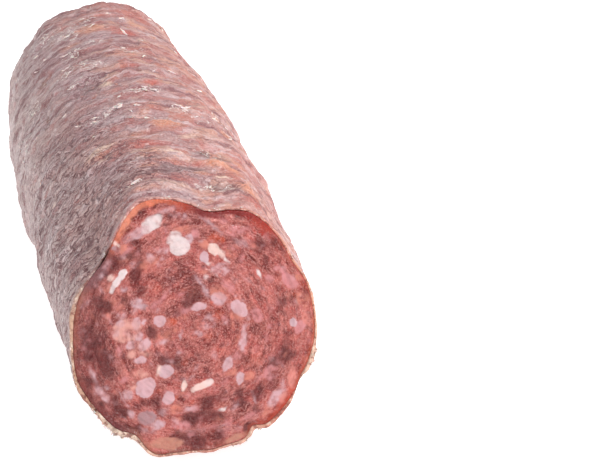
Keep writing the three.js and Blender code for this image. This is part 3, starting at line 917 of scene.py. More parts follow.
# Across from the middle, up the face, long side, short side, tilt, tint, how opaque
ISLANDS = [
    # Top left
    (-1.9, 20.6, 5.2, 4.6, 40, "white", 0.95), (-3.0, 23.0, 4.4, 3.0, 25, "white", 0.8),
    (-14.6, 21.6, 3.6, 2.6, 45, "rose", 0.6), (-1.0, 24.6, 4.5, 1.8, -10, "peach", 0.7),
    (-6.0, 20.2, 3.4, 2.2, 20, "shell", 0.7), (-8.2, 26.9, 6.6, 3.2, 30, "white", 0.85),
    (-11.2, 25.4, 6.6, 2.4, 22, "shell", 0.8), (-13.8, 24.5, 4.0, 1.6, 30, "shell", 0.55),
    (-4.3, 29.6, 5.0, 1.4, 10, "shell", 0.55), (-1.5, 27.8, 4.5, 1.8, -20, "shell", 0.55),
    (-17.3, 23.5, 3.6, 1.1, -36, "cream", 0.95), (-15.3, 22.1, 2.6, 1.8, 70, "peach", 0.95),
    (-17.4, 22.0, 2.4, 1.6, -20, "grey", 0.7), (-17.7, 14.0, 6.2, 1.9, 47, "white", 1.0),
    (-16.1, 15.7, 2.8, 2.0, 60, "white", 1.0), (-18.9, 15.3, 2.2, 1.6, 20, "cream", 0.8),
    (-19.6, 13.3, 3.2, 1.8, 30, "peach", 0.6), (-22.0, 13.3, 2.6, 1.2, -50, "shell", 0.5),
    (-16.2, 12.2, 2.4, 1.8, 60, "lavender", 0.6), (-9.2, 18.8, 2.8, 2.4, 0, "shell", 0.65),
    (-9.6, 17.6, 5.2, 3.8, 20, "peach", 0.55), (-6.9, 17.4, 3.2, 2.0, 60, "shell", 0.55),
    (-7.1, 19.9, 2.8, 0.7, -50, "shell", 0.75), (-6.2, 20.8, 4.0, 2.0, 30, "rose", 0.5),
    (-5.4, 24.0, 4.0, 1.6, 70, "rose", 0.45), (-13.2, 17.8, 2.8, 2.4, 20, "lavender", 0.35),
    (-26.4, 10.2, 3.0, 1.1, 85, "lavender", 0.5), (-5.2, 10.8, 2.0, 0.8, 50, "shell", 0.4),
    # Middle left
    (-18.6, 9.6, 1.8, 1.6, 60, "peach", 0.55), (-13.0, 8.4, 4.4, 2.8, -20, "lavender", 0.65),
    (-11.3, 7.6, 2.6, 2.0, 10, "grey", 0.6), (-7.4, 8.9, 4.2, 1.5, 45, "rose", 0.65),
    (-17.4, 6.3, 2.6, 2.0, 0, "shell", 0.6), (-21.0, 5.6, 3.0, 1.1, -55, "shell", 0.5),
    (-8.3, 3.4, 3.2, 3.0, 90, "shell", 0.95), (-12.0, 3.9, 1.8, 1.5, 60, "shell", 0.75),
    (-16.4, 2.4, 7.6, 6.0, 10, "apricot", 0.7), (-17.8, 4.3, 2.8, 2.2, 20, "shell", 0.75),
    (-19.1, 2.3, 2.4, 1.8, 60, "shell", 0.7), (-16.0, 1.6, 3.4, 2.2, -30, "shell", 0.65),
    (-14.0, 3.6, 3.6, 2.6, 80, "shell", 0.85), (-13.6, 0.6, 3.0, 2.2, 60, "shell", 0.75),
    (-15.6, -1.4, 3.2, 2.6, 0, "shell", 0.7), (-13.6, -2.6, 6.0, 3.0, -40, "apricot", 0.6),
    (-12.6, -1.8, 3.8, 3.0, 65, "shell", 0.85), (-18.4, -2.0, 2.8, 2.0, 60, "rose", 0.6),
    (-15.8, -3.7, 2.6, 1.8, 10, "apricot", 0.65), (-14.0, -5.3, 3.0, 1.9, -10, "shell", 0.9),
    (-7.6, -0.6, 4.6, 3.4, 10, "peach", 0.45), (-8.0, -1.8, 3.0, 1.8, 5, "shell", 0.7),
    (-3.6, -0.7, 2.2, 1.0, 70, "lavender", 0.8), (-5.2, 0.3, 3.0, 1.4, 20, "peach", 0.55),
    (-4.6, -5.2, 2.2, 1.5, 60, "lavender", 0.6), (-20.5, -4.0, 3.0, 0.8, -50, "shell", 0.45),
    # Bottom left
    (-2.0, -19.4, 3.6, 2.4, 10, "rose", 0.6), (-8.0, -9.1, 4.0, 3.4, 0, "lavender", 0.95),
    (-9.7, -8.5, 2.6, 1.6, 70, "cream", 0.7), (-13.4, -12.4, 4.8, 4.4, 70, "shell", 1.0),
    (-12.4, -11.4, 3.8, 3.4, 0, "shell", 0.95), (-14.2, -8.9, 4.0, 2.2, -20, "apricot", 0.65),
    (-16.2, -11.5, 3.6, 2.6, 40, "apricot", 0.6), (-17.4, -13.6, 2.8, 2.5, 20, "shell", 0.75),
    (-18.3, -9.8, 2.6, 2.0, 0, "rose", 0.6), (-22.7, -11.2, 2.0, 1.8, 0, "lavender", 0.6),
    (-25.0, -8.3, 5.6, 1.2, -76, "lavender", 0.75), (-23.8, -12.0, 5.6, 1.8, -60, "shell", 0.8),
    (-18.6, -14.6, 4.8, 0.6, -58, "shell", 0.7), (-17.2, -18.4, 2.6, 1.4, -65, "shell", 0.85),
    (-13.6, -19.8, 4.8, 3.6, 5, "grey", 0.9), (-11.2, -22.0, 3.8, 2.6, 10, "lavender", 0.8),
    (-14.0, -22.8, 5.0, 1.6, -20, "grey", 0.55), (-8.0, -15.8, 3.8, 3.2, 70, "shell", 0.95),
    (-6.2, -18.9, 3.4, 2.4, 0, "peach", 0.7), (-6.4, -21.8, 2.2, 1.6, -30, "shell", 0.7),
    (-5.6, -23.0, 6.0, 3.0, -25, "rose", 0.6), (-18.5, -19.4, 6.0, 1.2, -45, "grey", 0.4),
    (-9.6, -26.9, 9.4, 2.8, -11, "tan", 0.9), (-12.2, -26.0, 4.6, 1.4, -5, "peach", 0.75),
    (-3.4, -24.6, 6.5, 1.8, -10, "grey", 0.55), (-3.8, -13.4, 2.6, 2.0, 60, "cream", 0.85),
    (-2.6, -19.3, 3.2, 1.7, 0, "shell", 0.75), (-0.6, -9.6, 2.4, 0.7, 60, "shell", 0.5),
    (-1.9, -12.0, 2.4, 0.8, 50, "lavender", 0.6),
    # Top right
    (0.4, 22.4, 2.2, 2.6, 0, "lavender", 0.8), (4.3, 20.3, 2.8, 2.2, -30, "peach", 0.9),
    (1.9, 23.6, 2.6, 2.4, 60, "rose", 0.7), (6.1, 19.0, 3.6, 2.7, -65, "cream", 1.0),
    (7.8, 17.6, 3.2, 1.6, -52, "cream", 0.85), (8.8, 16.2, 2.8, 0.9, -55, "white", 0.8),
    (3.6, 17.4, 3.2, 2.4, -65, "lavender", 1.0), (4.4, 15.8, 2.0, 1.0, -30, "white", 0.75),
    (3.5, 21.1, 1.2, 0.9, 0, "shell", 0.8), (7.4, 13.8, 5.0, 3.0, 0, "shell", 0.7),
    (5.9, 12.9, 2.8, 0.6, -35, "white", 0.65), (3.8, 12.4, 1.4, 1.0, 60, "white", 0.6),
    (3.4, 13.6, 2.0, 1.2, 0, "peach", 0.6), (2.8, 10.4, 6.4, 1.5, -60, "lavender", 0.6),
    (5.8, 25.0, 6.4, 0.9, -42, "lavender", 0.7), (12.4, 22.6, 6.2, 3.0, 0, "rose", 0.6),
    (13.4, 19.4, 5.4, 2.8, -30, "lavender", 0.35), (9.0, 25.2, 3.0, 1.4, 0, "rose", 0.5),
    (16.7, 11.3, 2.8, 0.9, -65, "white", 0.95), (14.2, 10.0, 5.6, 0.5, -48, "shell", 0.65),
    (19.1, 10.0, 2.4, 1.8, -60, "rose", 0.65), (21.3, 12.5, 2.0, 1.7, 0, "rose", 0.8),
    (22.8, 11.8, 2.2, 1.8, 0, "rose", 0.85), (10.6, 14.0, 2.8, 0.8, -80, "shell", 0.4),
    (13.0, 16.2, 2.4, 1.4, 60, "rose", 0.5),
    # Middle right
    (9.8, -8.0, 2.6, 2.2, 0, "rose", 0.5), (27.4, 3.4, 4.0, 4.8, 10, "peach", 0.6),
    (27.8, -1.4, 2.6, 4.0, 10, "salmon", 0.6), (11.6, -3.9, 7.2, 2.3, 82, "shell", 0.8),
    (4.0, -6.6, 2.0, 1.4, 80, "shell", 0.6), (0.9, -0.8, 2.8, 1.5, 0, "shell", 0.65),
    (17.0, -5.0, 3.6, 0.9, 85, "rose", 0.45), (6.5, 6.9, 4.0, 3.4, 0, "shell", 0.8),
    (6.8, 8.4, 5.0, 3.4, -40, "peach", 0.6), (8.9, 9.7, 4.8, 2.6, -60, "rose", 0.6),
    (11.2, 3.6, 5.4, 3.5, -50, "shell", 1.0), (15.4, 1.6, 3.0, 3.4, 20, "rose", 0.75),
    (10.2, 1.8, 4.0, 2.0, -30, "peach", 0.7), (1.1, 5.6, 4.2, 2.2, 12, "shell", 0.95),
    (3.4, 1.8, 4.4, 3.0, 30, "shell", 0.5), (2.6, 2.4, 2.0, 0.9, 40, "shell", 0.6),
    (18.0, 7.8, 3.0, 0.5, -35, "shell", 0.5), (24.1, 9.0, 5.2, 2.6, -57, "rose", 0.9),
    (26.2, 9.4, 1.8, 1.5, 0, "peach", 0.9), (18.0, 1.8, 4.2, 1.3, 85, "rose", 0.5),
    (24.3, -1.8, 2.8, 2.2, -60, "lavender", 1.0), (26.0, -3.2, 3.8, 2.8, 60, "rose", 0.85),
    (26.8, 1.8, 1.8, 1.2, 60, "rose", 0.6),
    # Bottom right
    (4.4, -26.0, 3.4, 2.4, 20, "rose", 0.55), (17.6, -13.6, 4.6, 4.0, 30, "rose", 0.6),
    (0.6, -14.2, 6.2, 1.9, 14, "cream", 1.0), (2.2, -13.7, 2.8, 1.7, 14, "white", 0.9),
    (7.2, -9.2, 4.4, 2.2, 58, "shell", 0.95), (9.7, -13.4, 3.3, 2.4, 85, "lavender", 0.95),
    (12.0, -13.2, 2.8, 2.3, 0, "peach", 0.8), (6.2, -13.6, 2.6, 1.4, 20, "rose", 0.6),
    (8.0, -11.8, 3.0, 2.0, 30, "peach", 0.75), (13.0, -18.7, 2.6, 0.8, -75, "lavender", 0.7),
    (5.2, -20.3, 2.3, 1.1, 25, "white", 0.85), (8.0, -20.2, 3.0, 1.6, 40, "lavender", 0.45),
    (18.4, -20.2, 6.0, 2.6, 42, "shell", 0.7), (20.1, -17.2, 3.6, 1.1, 75, "shell", 0.65),
    (20.0, -20.4, 3.6, 2.0, 60, "salmon", 0.8), (22.9, -15.4, 5.6, 2.4, 84, "salmon", 0.85),
    (15.8, -22.6, 5.0, 1.8, 35, "peach", 0.6), (11.2, -23.2, 4.4, 1.8, 25, "rose", 0.55),
    (5.8, -24.4, 3.8, 2.2, 60, "rose", 0.6), (7.6, -28.1, 6.4, 1.7, 10, "tan", 0.85),
    (1.0, -25.0, 5.0, 1.2, 0, "rose", 0.5), (20.8, -11.9, 1.7, 0.5, -60, "shell", 0.7),
    (23.6, -11.6, 1.6, 0.5, -40, "shell", 0.6), (14.5, -14.4, 2.0, 1.2, 60, "rose", 0.5),
]
# Where fat has rusted to orange or lean is still bright red: across, up, spread, strength
RUST = [
    (6.2, 21.8, 1.5, 1.1), (8.4, 20.8, 1.0, 0.9), (5.2, 18.0, 0.6, 0.7), (-18.0, 14.8, 0.5, 1.0),
    (-5.5, 2.6, 1.3, 0.9), (4.6, 6.2, 0.6, 0.9), (12.4, -13.2, 1.0, 0.5), (-6.2, -18.6, 1.0, 0.5),
    (-15.0, -8.6, 1.2, 0.5), (5.8, 3.0, 1.6, 0.7), (13.6, 0.4, 1.0, 0.5), (3.0, -2.0, 1.6, 0.5),
    (-2.4, -17.2, 1.0, 0.6), (-5.9, -15.9, 0.6, 1.0), (5.5, -6.0, 2.0, 0.35), (14.0, -9.0, 3.0, 0.4),
    (17.6, 25.0, 2.2, 0.8), (19.6, 22.6, 1.6, 0.8), (22.5, -18.5, 1.2, 0.9), (20.5, -22.0, 1.8, 0.9),
    (24.6, 14.6, 1.5, 0.5), (-8.5, 11.5, 1.8, 0.4), (-15.5, 10.6, 1.2, 0.4), (13.2, 12.8, 1.2, 0.4),
    (-6.8, -5.0, 1.0, 0.3), (-3.0, -7.2, 1.6, 0.4), (-10.0, -13.6, 1.2, 0.4), (25.5, 5.2, 0.8, 0.7),
    (10.0, 6.4, 1.0, 0.4), (-13.0, -4.0, 1.0, 0.4), (-18.0, -5.2, 0.8, 0.4), (9.0, -24.5, 1.5, 0.3),
]
# Lean that is nearly black, and gaps between pieces, sunk a little and painted dark as painted shade:
# across, up, spread, strength
DARK_LEAN_AND_SHADED_GAPS = [
    (-17.3, 24.4, 0.7, 0.7), (-15.4, 26.4, 0.7, 0.8), (-13.0, 28.2, 0.7, 0.7), (-10.6, 29.6, 0.8, 0.8),
    (-7.4, 30.8, 0.8, 0.9), (-10.2, 0.6, 1.6, 0.8), (-20.0, 18.0, 2.2, 1.0), (-11.8, 17.8, 1.5, 0.8),
    (-12.4, 15.4, 1.2, 0.7), (6.0, -8.0, 1.4, 0.6), (-4.0, -22.0, 1.4, 0.7), (-12.2, -4.4, 0.9, 0.7),
    (-4.0, -12.6, 1.0, 0.6), (28.6, -0.4, 1.0, 0.5), (-10.2, -19.4, 1.4, 0.7), (-5.2, -7.4, 1.6, 0.8),
    (-12.4, 11.0, 1.8, 0.7), (22.0, -10.0, 1.4, 0.9), (-2.0, 6.0, 1.6, 0.6), (-16.6, 9.2, 1.2, 0.7),
    (-8.0, -26.0, 1.6, 0.7), (17.6, -11.6, 1.4, 0.6), (-20.4, 8.2, 1.5, 1.0), (-20.4, 18.4, 1.6, 0.8),
    (13.6, -18.6, 1.3, 0.8), (11.0, -26.2, 1.4, 0.7), (-26.0, 3.6, 1.6, 0.8), (-26.0, 0.2, 1.8, 0.9),
    (-12.0, 20.6, 1.0, 0.8), (4.0, -22.2, 1.6, 0.9), (-6.4, -25.8, 1.2, 0.9), (-18.4, -18.0, 1.2, 0.9),
    (-18.6, -21.4, 1.4, 0.9), (9.8, 18.6, 0.9, 0.8), (-6.3, 28.4, 0.9, 1.0), (-5.4, 26.2, 0.6, 0.7),
    (-3.8, 28.0, 1.2, 0.6), (-12.6, 23.2, 1.3, 0.9), (-14.4, 20.0, 1.2, 0.8), (-19.4, 19.6, 1.8, 0.9),
    (-17.0, 18.4, 1.8, 0.7), (-21.6, 16.6, 1.6, 0.7), (-13.4, 14.6, 1.8, 0.7), (-21.0, 8.8, 1.2, 1.0),
    (-22.8, 10.6, 1.6, 0.7), (-23.8, 6.5, 1.8, 0.6), (-23.4, 0.6, 2.0, 0.7), (-22.6, -3.6, 2.6, 0.8),
    (-26.4, -3.2, 1.2, 0.8), (-26.0, 1.0, 1.5, 0.5), (-21.8, -7.0, 2.0, 0.6), (-21.0, -13.6, 2.0, 0.6),
    (-20.4, -17.0, 2.0, 0.7), (-26.6, -9.0, 1.4, 0.9), (-24.4, -14.8, 1.2, 0.8), (-8.2, -6.2, 1.8, 0.9),
    (-10.8, -16.3, 1.6, 0.8), (-14.0, -16.0, 1.6, 0.6), (-15.8, -22.0, 1.2, 0.8),
    (-17.4, -23.2, 1.4, 0.9), (-2.6, -21.6, 2.0, 0.9), (1.6, -18.4, 1.8, 0.9), (1.2, -22.0, 2.2, 0.7),
    (4.6, -17.6, 1.6, 0.5), (9.6, -17.0, 1.8, 0.9), (9.6, -19.8, 1.4, 0.7), (14.6, -17.4, 1.8, 0.8),
    (13.0, -21.4, 1.2, 0.8), (17.6, -14.8, 1.6, 0.6), (19.0, -10.4, 1.6, 0.8), (21.8, -7.6, 2.0, 0.7),
    (22.6, -4.4, 1.6, 0.5), (24.4, -9.4, 1.4, 0.5), (-4.4, -26.8, 2.0, 0.9), (-1.2, -28.0, 2.4, 0.9),
    (3.4, -26.8, 1.8, 0.8), (-2.4, 14.2, 1.4, 0.5), (0.6, 12.6, 1.6, 0.6), (1.0, 8.4, 2.0, 0.8),
    (-1.0, 8.0, 1.8, 0.4), (4.8, 11.6, 1.0, 0.6), (17.4, 18.8, 2.0, 0.8), (21.2, 19.0, 1.4, 0.8),
    (18.4, 14.8, 2.0, 0.5), (22.0, 3.4, 2.2, 0.7), (21.2, 7.2, 1.4, 0.5), (3.2, 15.0, 0.7, 0.7),
    (0.4, 17.4, 1.4, 0.4), (-4.6, 4.8, 1.6, 0.4), (-11.0, 1.2, 1.0, 0.6), (6.2, -4.6, 0.8, 0.6),
    (12.8, 26.8, 1.4, 0.7), (-3.6, -9.6, 1.4, 0.4), (-0.4, -6.0, 1.6, 0.4), (16.4, -25.6, 1.2, 0.7),
    (11.4, -26.4, 1.4, 0.8), (-16.0, -16.8, 1.0, 0.5), (24.8, 4.8, 1.2, 0.4), (-1.0, 26.4, 1.0, 0.4),
    (11.5, 19.8, 1.0, 0.5), (12.2, -9.6, 1.4, 0.3), (7.0, 10.6, 0.8, 0.4),
]
# What the filling's rim looks like: angle, colour, how wide in millimetres, how opaque. It is dried, and
# from 58 to 84 degrees its dark red is deepened as painted shade in the crevice under the casing
RIM_TINTS = [
    (0, "#bf6146", 1.0, 0.5), (20, "#b53e2e", 1.1, 0.4), (36, "#c0594a", 1.2, 0.5),
    # These dark reds are painted shade in the crevice under the casing's edge
    (47, "#ad3226", 2.4, 0.7), (58, "#8e2a26", 2.0, 0.9), (68, "#7a1f1e", 2.2, 1.0),
    (84, "#7a2120", 1.8, 1.0), (92, "#a8432f", 2.0, 0.9), (102, "#c96b50", 2.0, 1.0),
    (118, "#cf8068", 2.3, 1.0), (128, "#b95f4a", 2.0, 1.0), (133, "#7c3d37", 1.6, 0.9),
    (140, "#74474a", 3.4, 0.9), (150, "#75484b", 2.8, 0.8), (158, "#8c5142", 1.4, 0.7),
    (180, "#84463a", 1.4, 0.6), (200, "#6e2f2c", 2.2, 0.7), (225, "#5c2528", 2.2, 0.8),
    (243, "#a0604f", 1.0, 0.7), (256, "#7c4a40", 1.2, 0.6), (270, "#7e4038", 1.2, 0.6),
    (288, "#8a4438", 1.4, 0.7), (305, "#9e3a2a", 1.6, 0.8), (318, "#b03a26", 1.8, 0.8),
    (330, "#b3503a", 1.1, 0.6),
]

# %% The cut face, as rings from its middle to its rim
FILL_AROUND = 540
FACE_RINGS = 116
FILL_INSET = CASING_WALL + GAP
# At the cut the filling clings to the casing's thin edge and goes a hair into it
CLING = {"into edge": 0.08, "reach": 2.2}

fill_angle = np.arange(FILL_AROUND) * 360 / FILL_AROUND
fill_stations = (LENGTH - DOME) * np.array([0, 0.003, 0.007, 0.014, 0.025, *HIDDEN_STATIONS])
crevice = bump(turn_between(fill_angle, CREVICE["angle"]), CREVICE["spread"])
crevice = crevice * bump(fill_stations[:, None], CREVICE["reach"])
set_back = FACE_SET_BACK * bump(fill_stations[:, None], EDGE_REACH / 2)
clings = (FILL_INSET - EDGE_WALL + CLING["into edge"]) * bump(fill_stations[:, None], CLING["reach"])
clings = clings * (1 - CREVICE["opens"] * crevice)
fill_side = np.concatenate([
    body_rings(fill_angle, fill_stations, FILL_INSET, swell_relief, set_back, clings),
    dome_rings(fill_angle, HIDDEN_DOME_RINGS, HIDDEN_NECK, FILL_INSET, swell_relief),
])
middle = place(FACE_SET_BACK, 0, 0, 0)
share = (np.arange(FACE_RINGS)[:, None, None] + 1) / (FACE_RINGS + 1)
face = middle + share * (fill_side[0] - middle)

# Places on the face: across, up the face, and 0 for the noise's third number
up_face = (face[..., 2] - AXIS_HEIGHT) / math.cos(math.radians(CUT_LEAN))
on_face = np.stack([face[..., 0], up_face, 0 * up_face], axis=-1)
rim_radius = np.linalg.norm(fill_side[0] - middle, axis=-1)
to_rim = (1 - share[..., 0]) * rim_radius
print("the face is", round(2 * rim_radius.mean(), 1), "mm across on average")

# %% [markdown]
# The fibres of the lean meat show as fine streaks along the rings. To draw
# them, noise is averaged along a short arc through each point, as a brush
# dragged round the middle would do. Islands of fat are ovals whose outlines are
# bent and softened by noise, so that none is a clean oval, and each has a pink
# halo where thin fat lies over lean.


# %% Streaks and islands as values on the face
def dragged_cloud(points, size, seed, reach, steps=9):
    """Noise smeared along arcs round the middle of the face."""
    out = np.maximum(np.hypot(points[..., 0], points[..., 1]), 5)
    total = 0
    x, y, z = np.moveaxis(points, -1, 0)
    for step in np.linspace(-reach, reach, steps):
        turn = step / out
        cosine, sine = np.cos(turn), np.sin(turn)
        moved = np.stack([x * cosine - y * sine, x * sine + y * cosine, z], axis=-1)
        total = total + cloud(moved, size, seed)
    return total / math.sqrt(steps)


bend = np.stack([
    0.40 * cloud(on_face, 2.6, seed)
    + 0.20 * cloud(on_face, 0.9, seed + 5)
    + 0.10 * cloud(on_face, 0.45, seed + 9)
    for seed in (21, 22)
], -1)
bent = on_face[..., :2] + bend
fibre = 0.6 * dragged_cloud(on_face, 0.6, 31, 1.8) + 0.5 * dragged_cloud(on_face, 1.6, 32, 3.6)
mottle = cloud(on_face, 0.7, 51) + 0.7 * cloud(on_face, 1.6, 52)

SMALL_ISLANDS = {"count": 420, "seed": 9, "smallest": 0.6, "largest": 3.2, "opacity": 0.6}
SMALL_TINTS = ("rose", "shell", "rose", "peach", "rose", "salmon", "lavender", "rose", "peach")
FACE_REACH = 28.5


def small_islands(count, seed, smallest, largest, opacity):
    """Random islands that lie along the rings, more of them pink than pale."""
    draws = seeded_draws(seed)
    islands = []
    for _ in range(count):
        angle, out = 2 * math.pi * next(draws), FACE_REACH * math.sqrt(next(draws))
        size = smallest + (largest - smallest) * next(draws) ** 1.6
        tilt = math.degrees(angle) + 90 + 70 * (next(draws) - 0.5)
        tint = SMALL_TINTS[int(len(SMALL_TINTS) * next(draws))]
        islands.append((
            out * math.cos(angle), out * math.sin(angle), size, size * (0.35 + 0.5 * next(draws)),
            tilt, tint, opacity * (0.4 + 0.6 * next(draws)),
        ))
    return islands


fat = np.zeros(up_face.shape)
halo = np.zeros(up_face.shape)
weight = np.full(up_face.shape, 1e-6)
tint = weight[..., None] * linear(FAT_TINTS["rose"])[:3]
for x, up, long, short, tilt, name, opacity in small_islands(**SMALL_ISLANDS) + ISLANDS:
    cosine, sine = math.cos(math.radians(tilt)), math.sin(math.radians(tilt))
    from_x, from_y = bent[..., 0] - x, bent[..., 1] - up
    lengthways = (from_x * cosine + from_y * sine) / (long / 2)
    sideways = (from_y * cosine - from_x * sine) / (short / 2)
    oval = np.hypot(lengthways, sideways)
    inside = (1 - oval) * short / 2
    soft = 0.14 + 1.3 * (1 - opacity)
    strength = opacity * smooth_step(inside, -soft, soft + 0.1)
    strength = strength * np.clip(1 + 1.6 * (1 - opacity) * mottle, 0, 1.3)
    tint += (strength**3)[..., None] * linear(FAT_TINTS[name])[:3]
    weight += strength**3
    fat = np.maximum(fat, np.minimum(strength, 1))
    halo = np.maximum(halo, opacity * smooth_step(inside, -1.3, 0.0))
tint /= weight[..., None]
fat = fat * np.clip(0.96 + 0.08 * mottle, 0, 1)


def spots(places):
    """A value from 0 to 1 on the face, high at those places."""
    return np.clip(sum(
        strength * bump(np.hypot(bent[..., 0] - x, bent[..., 1] - up), spread)
        for x, up, spread, strength in places
    ), 0, 1)


rust = spots(RUST)
dark = spots(DARK_LEAN_AND_SHADED_GAPS)
rim_width, rim_opacity = (
    np.interp(fill_angle, [row[0] for row in RIM_TINTS], [row[n] for row in RIM_TINTS], period=360)
    for n in (2, 3)
)
from_rim = (to_rim + 1.4 * bend[..., 0] + 0.35 * mottle + 0.5 * fibre) / rim_width
rim_share = rim_opacity * smooth_step(from_rim, 1.2, 0.4)
rim_tint = around_tints(RIM_TINTS, fill_angle) + np.zeros(face.shape)
print("fat covers", round(100 * np.average(fat, weights=share[..., 0] + 0 * fat)), "% of the face")

# %% [markdown]
# The knife leaves fat a little proud, because it is firm, and lean a little
# sunken, with fine furrows between fibres. That relief is a few tenths of a
# millimetre, and it is real: each point of the face moves out along the
# face's own direction.

# %% Relief of the cut, and the filling as one body
outwards = np.array([0, -math.cos(math.radians(CUT_LEAN)), math.sin(math.radians(CUT_LEAN))])
LIFT = {"fat": 0.08, "fibre": 0.10, "dark": 0.35, "swell": 0.30, "ripple": 0.12, "rim": 0.34}
lift = LIFT["fat"] * fat + LIFT["fibre"] * fibre - LIFT["dark"] * dark
lift = lift + LIFT["swell"] * cloud(on_face, 4.5, 41) + LIFT["ripple"] * cloud(on_face, 1.3, 42)
lift = lift * smooth_step(to_rim, 0.0, 1.2) + LIFT["rim"] * bump(to_rim, 0.8)
face = face + lift[..., None] * outwards


def with_side(values, at_side=0.0):
    """Values of the face, then one value for all the rings behind it."""
    rest = np.zeros((len(fill_side),) + values.shape[1:]) + at_side
    return np.concatenate([values, rest])


filling = ringed_mesh(
    "cut_filling",
    middle,
    np.concatenate([face, fill_side]),
    place(LENGTH - FILL_INSET, 0, 0, 0),
    {
        "fat": with_side(fat), "halo": with_side(halo), "tint": with_side(tint), "fibre": with_side(fibre),
        # The side behind the face gets half the dark and the rim's colour, painted shade where it shows in
        # the crevice
        "rust": with_side(rust), "dark": with_side(dark, 0.5), "rim": with_side(rim_share, 1.0),
        "rim_tint": with_side(rim_tint, around_tints(RIM_TINTS, fill_angle)),
    },
)
print("filling has", len(filling.data.vertices), "points and", len(ISLANDS), "large islands")
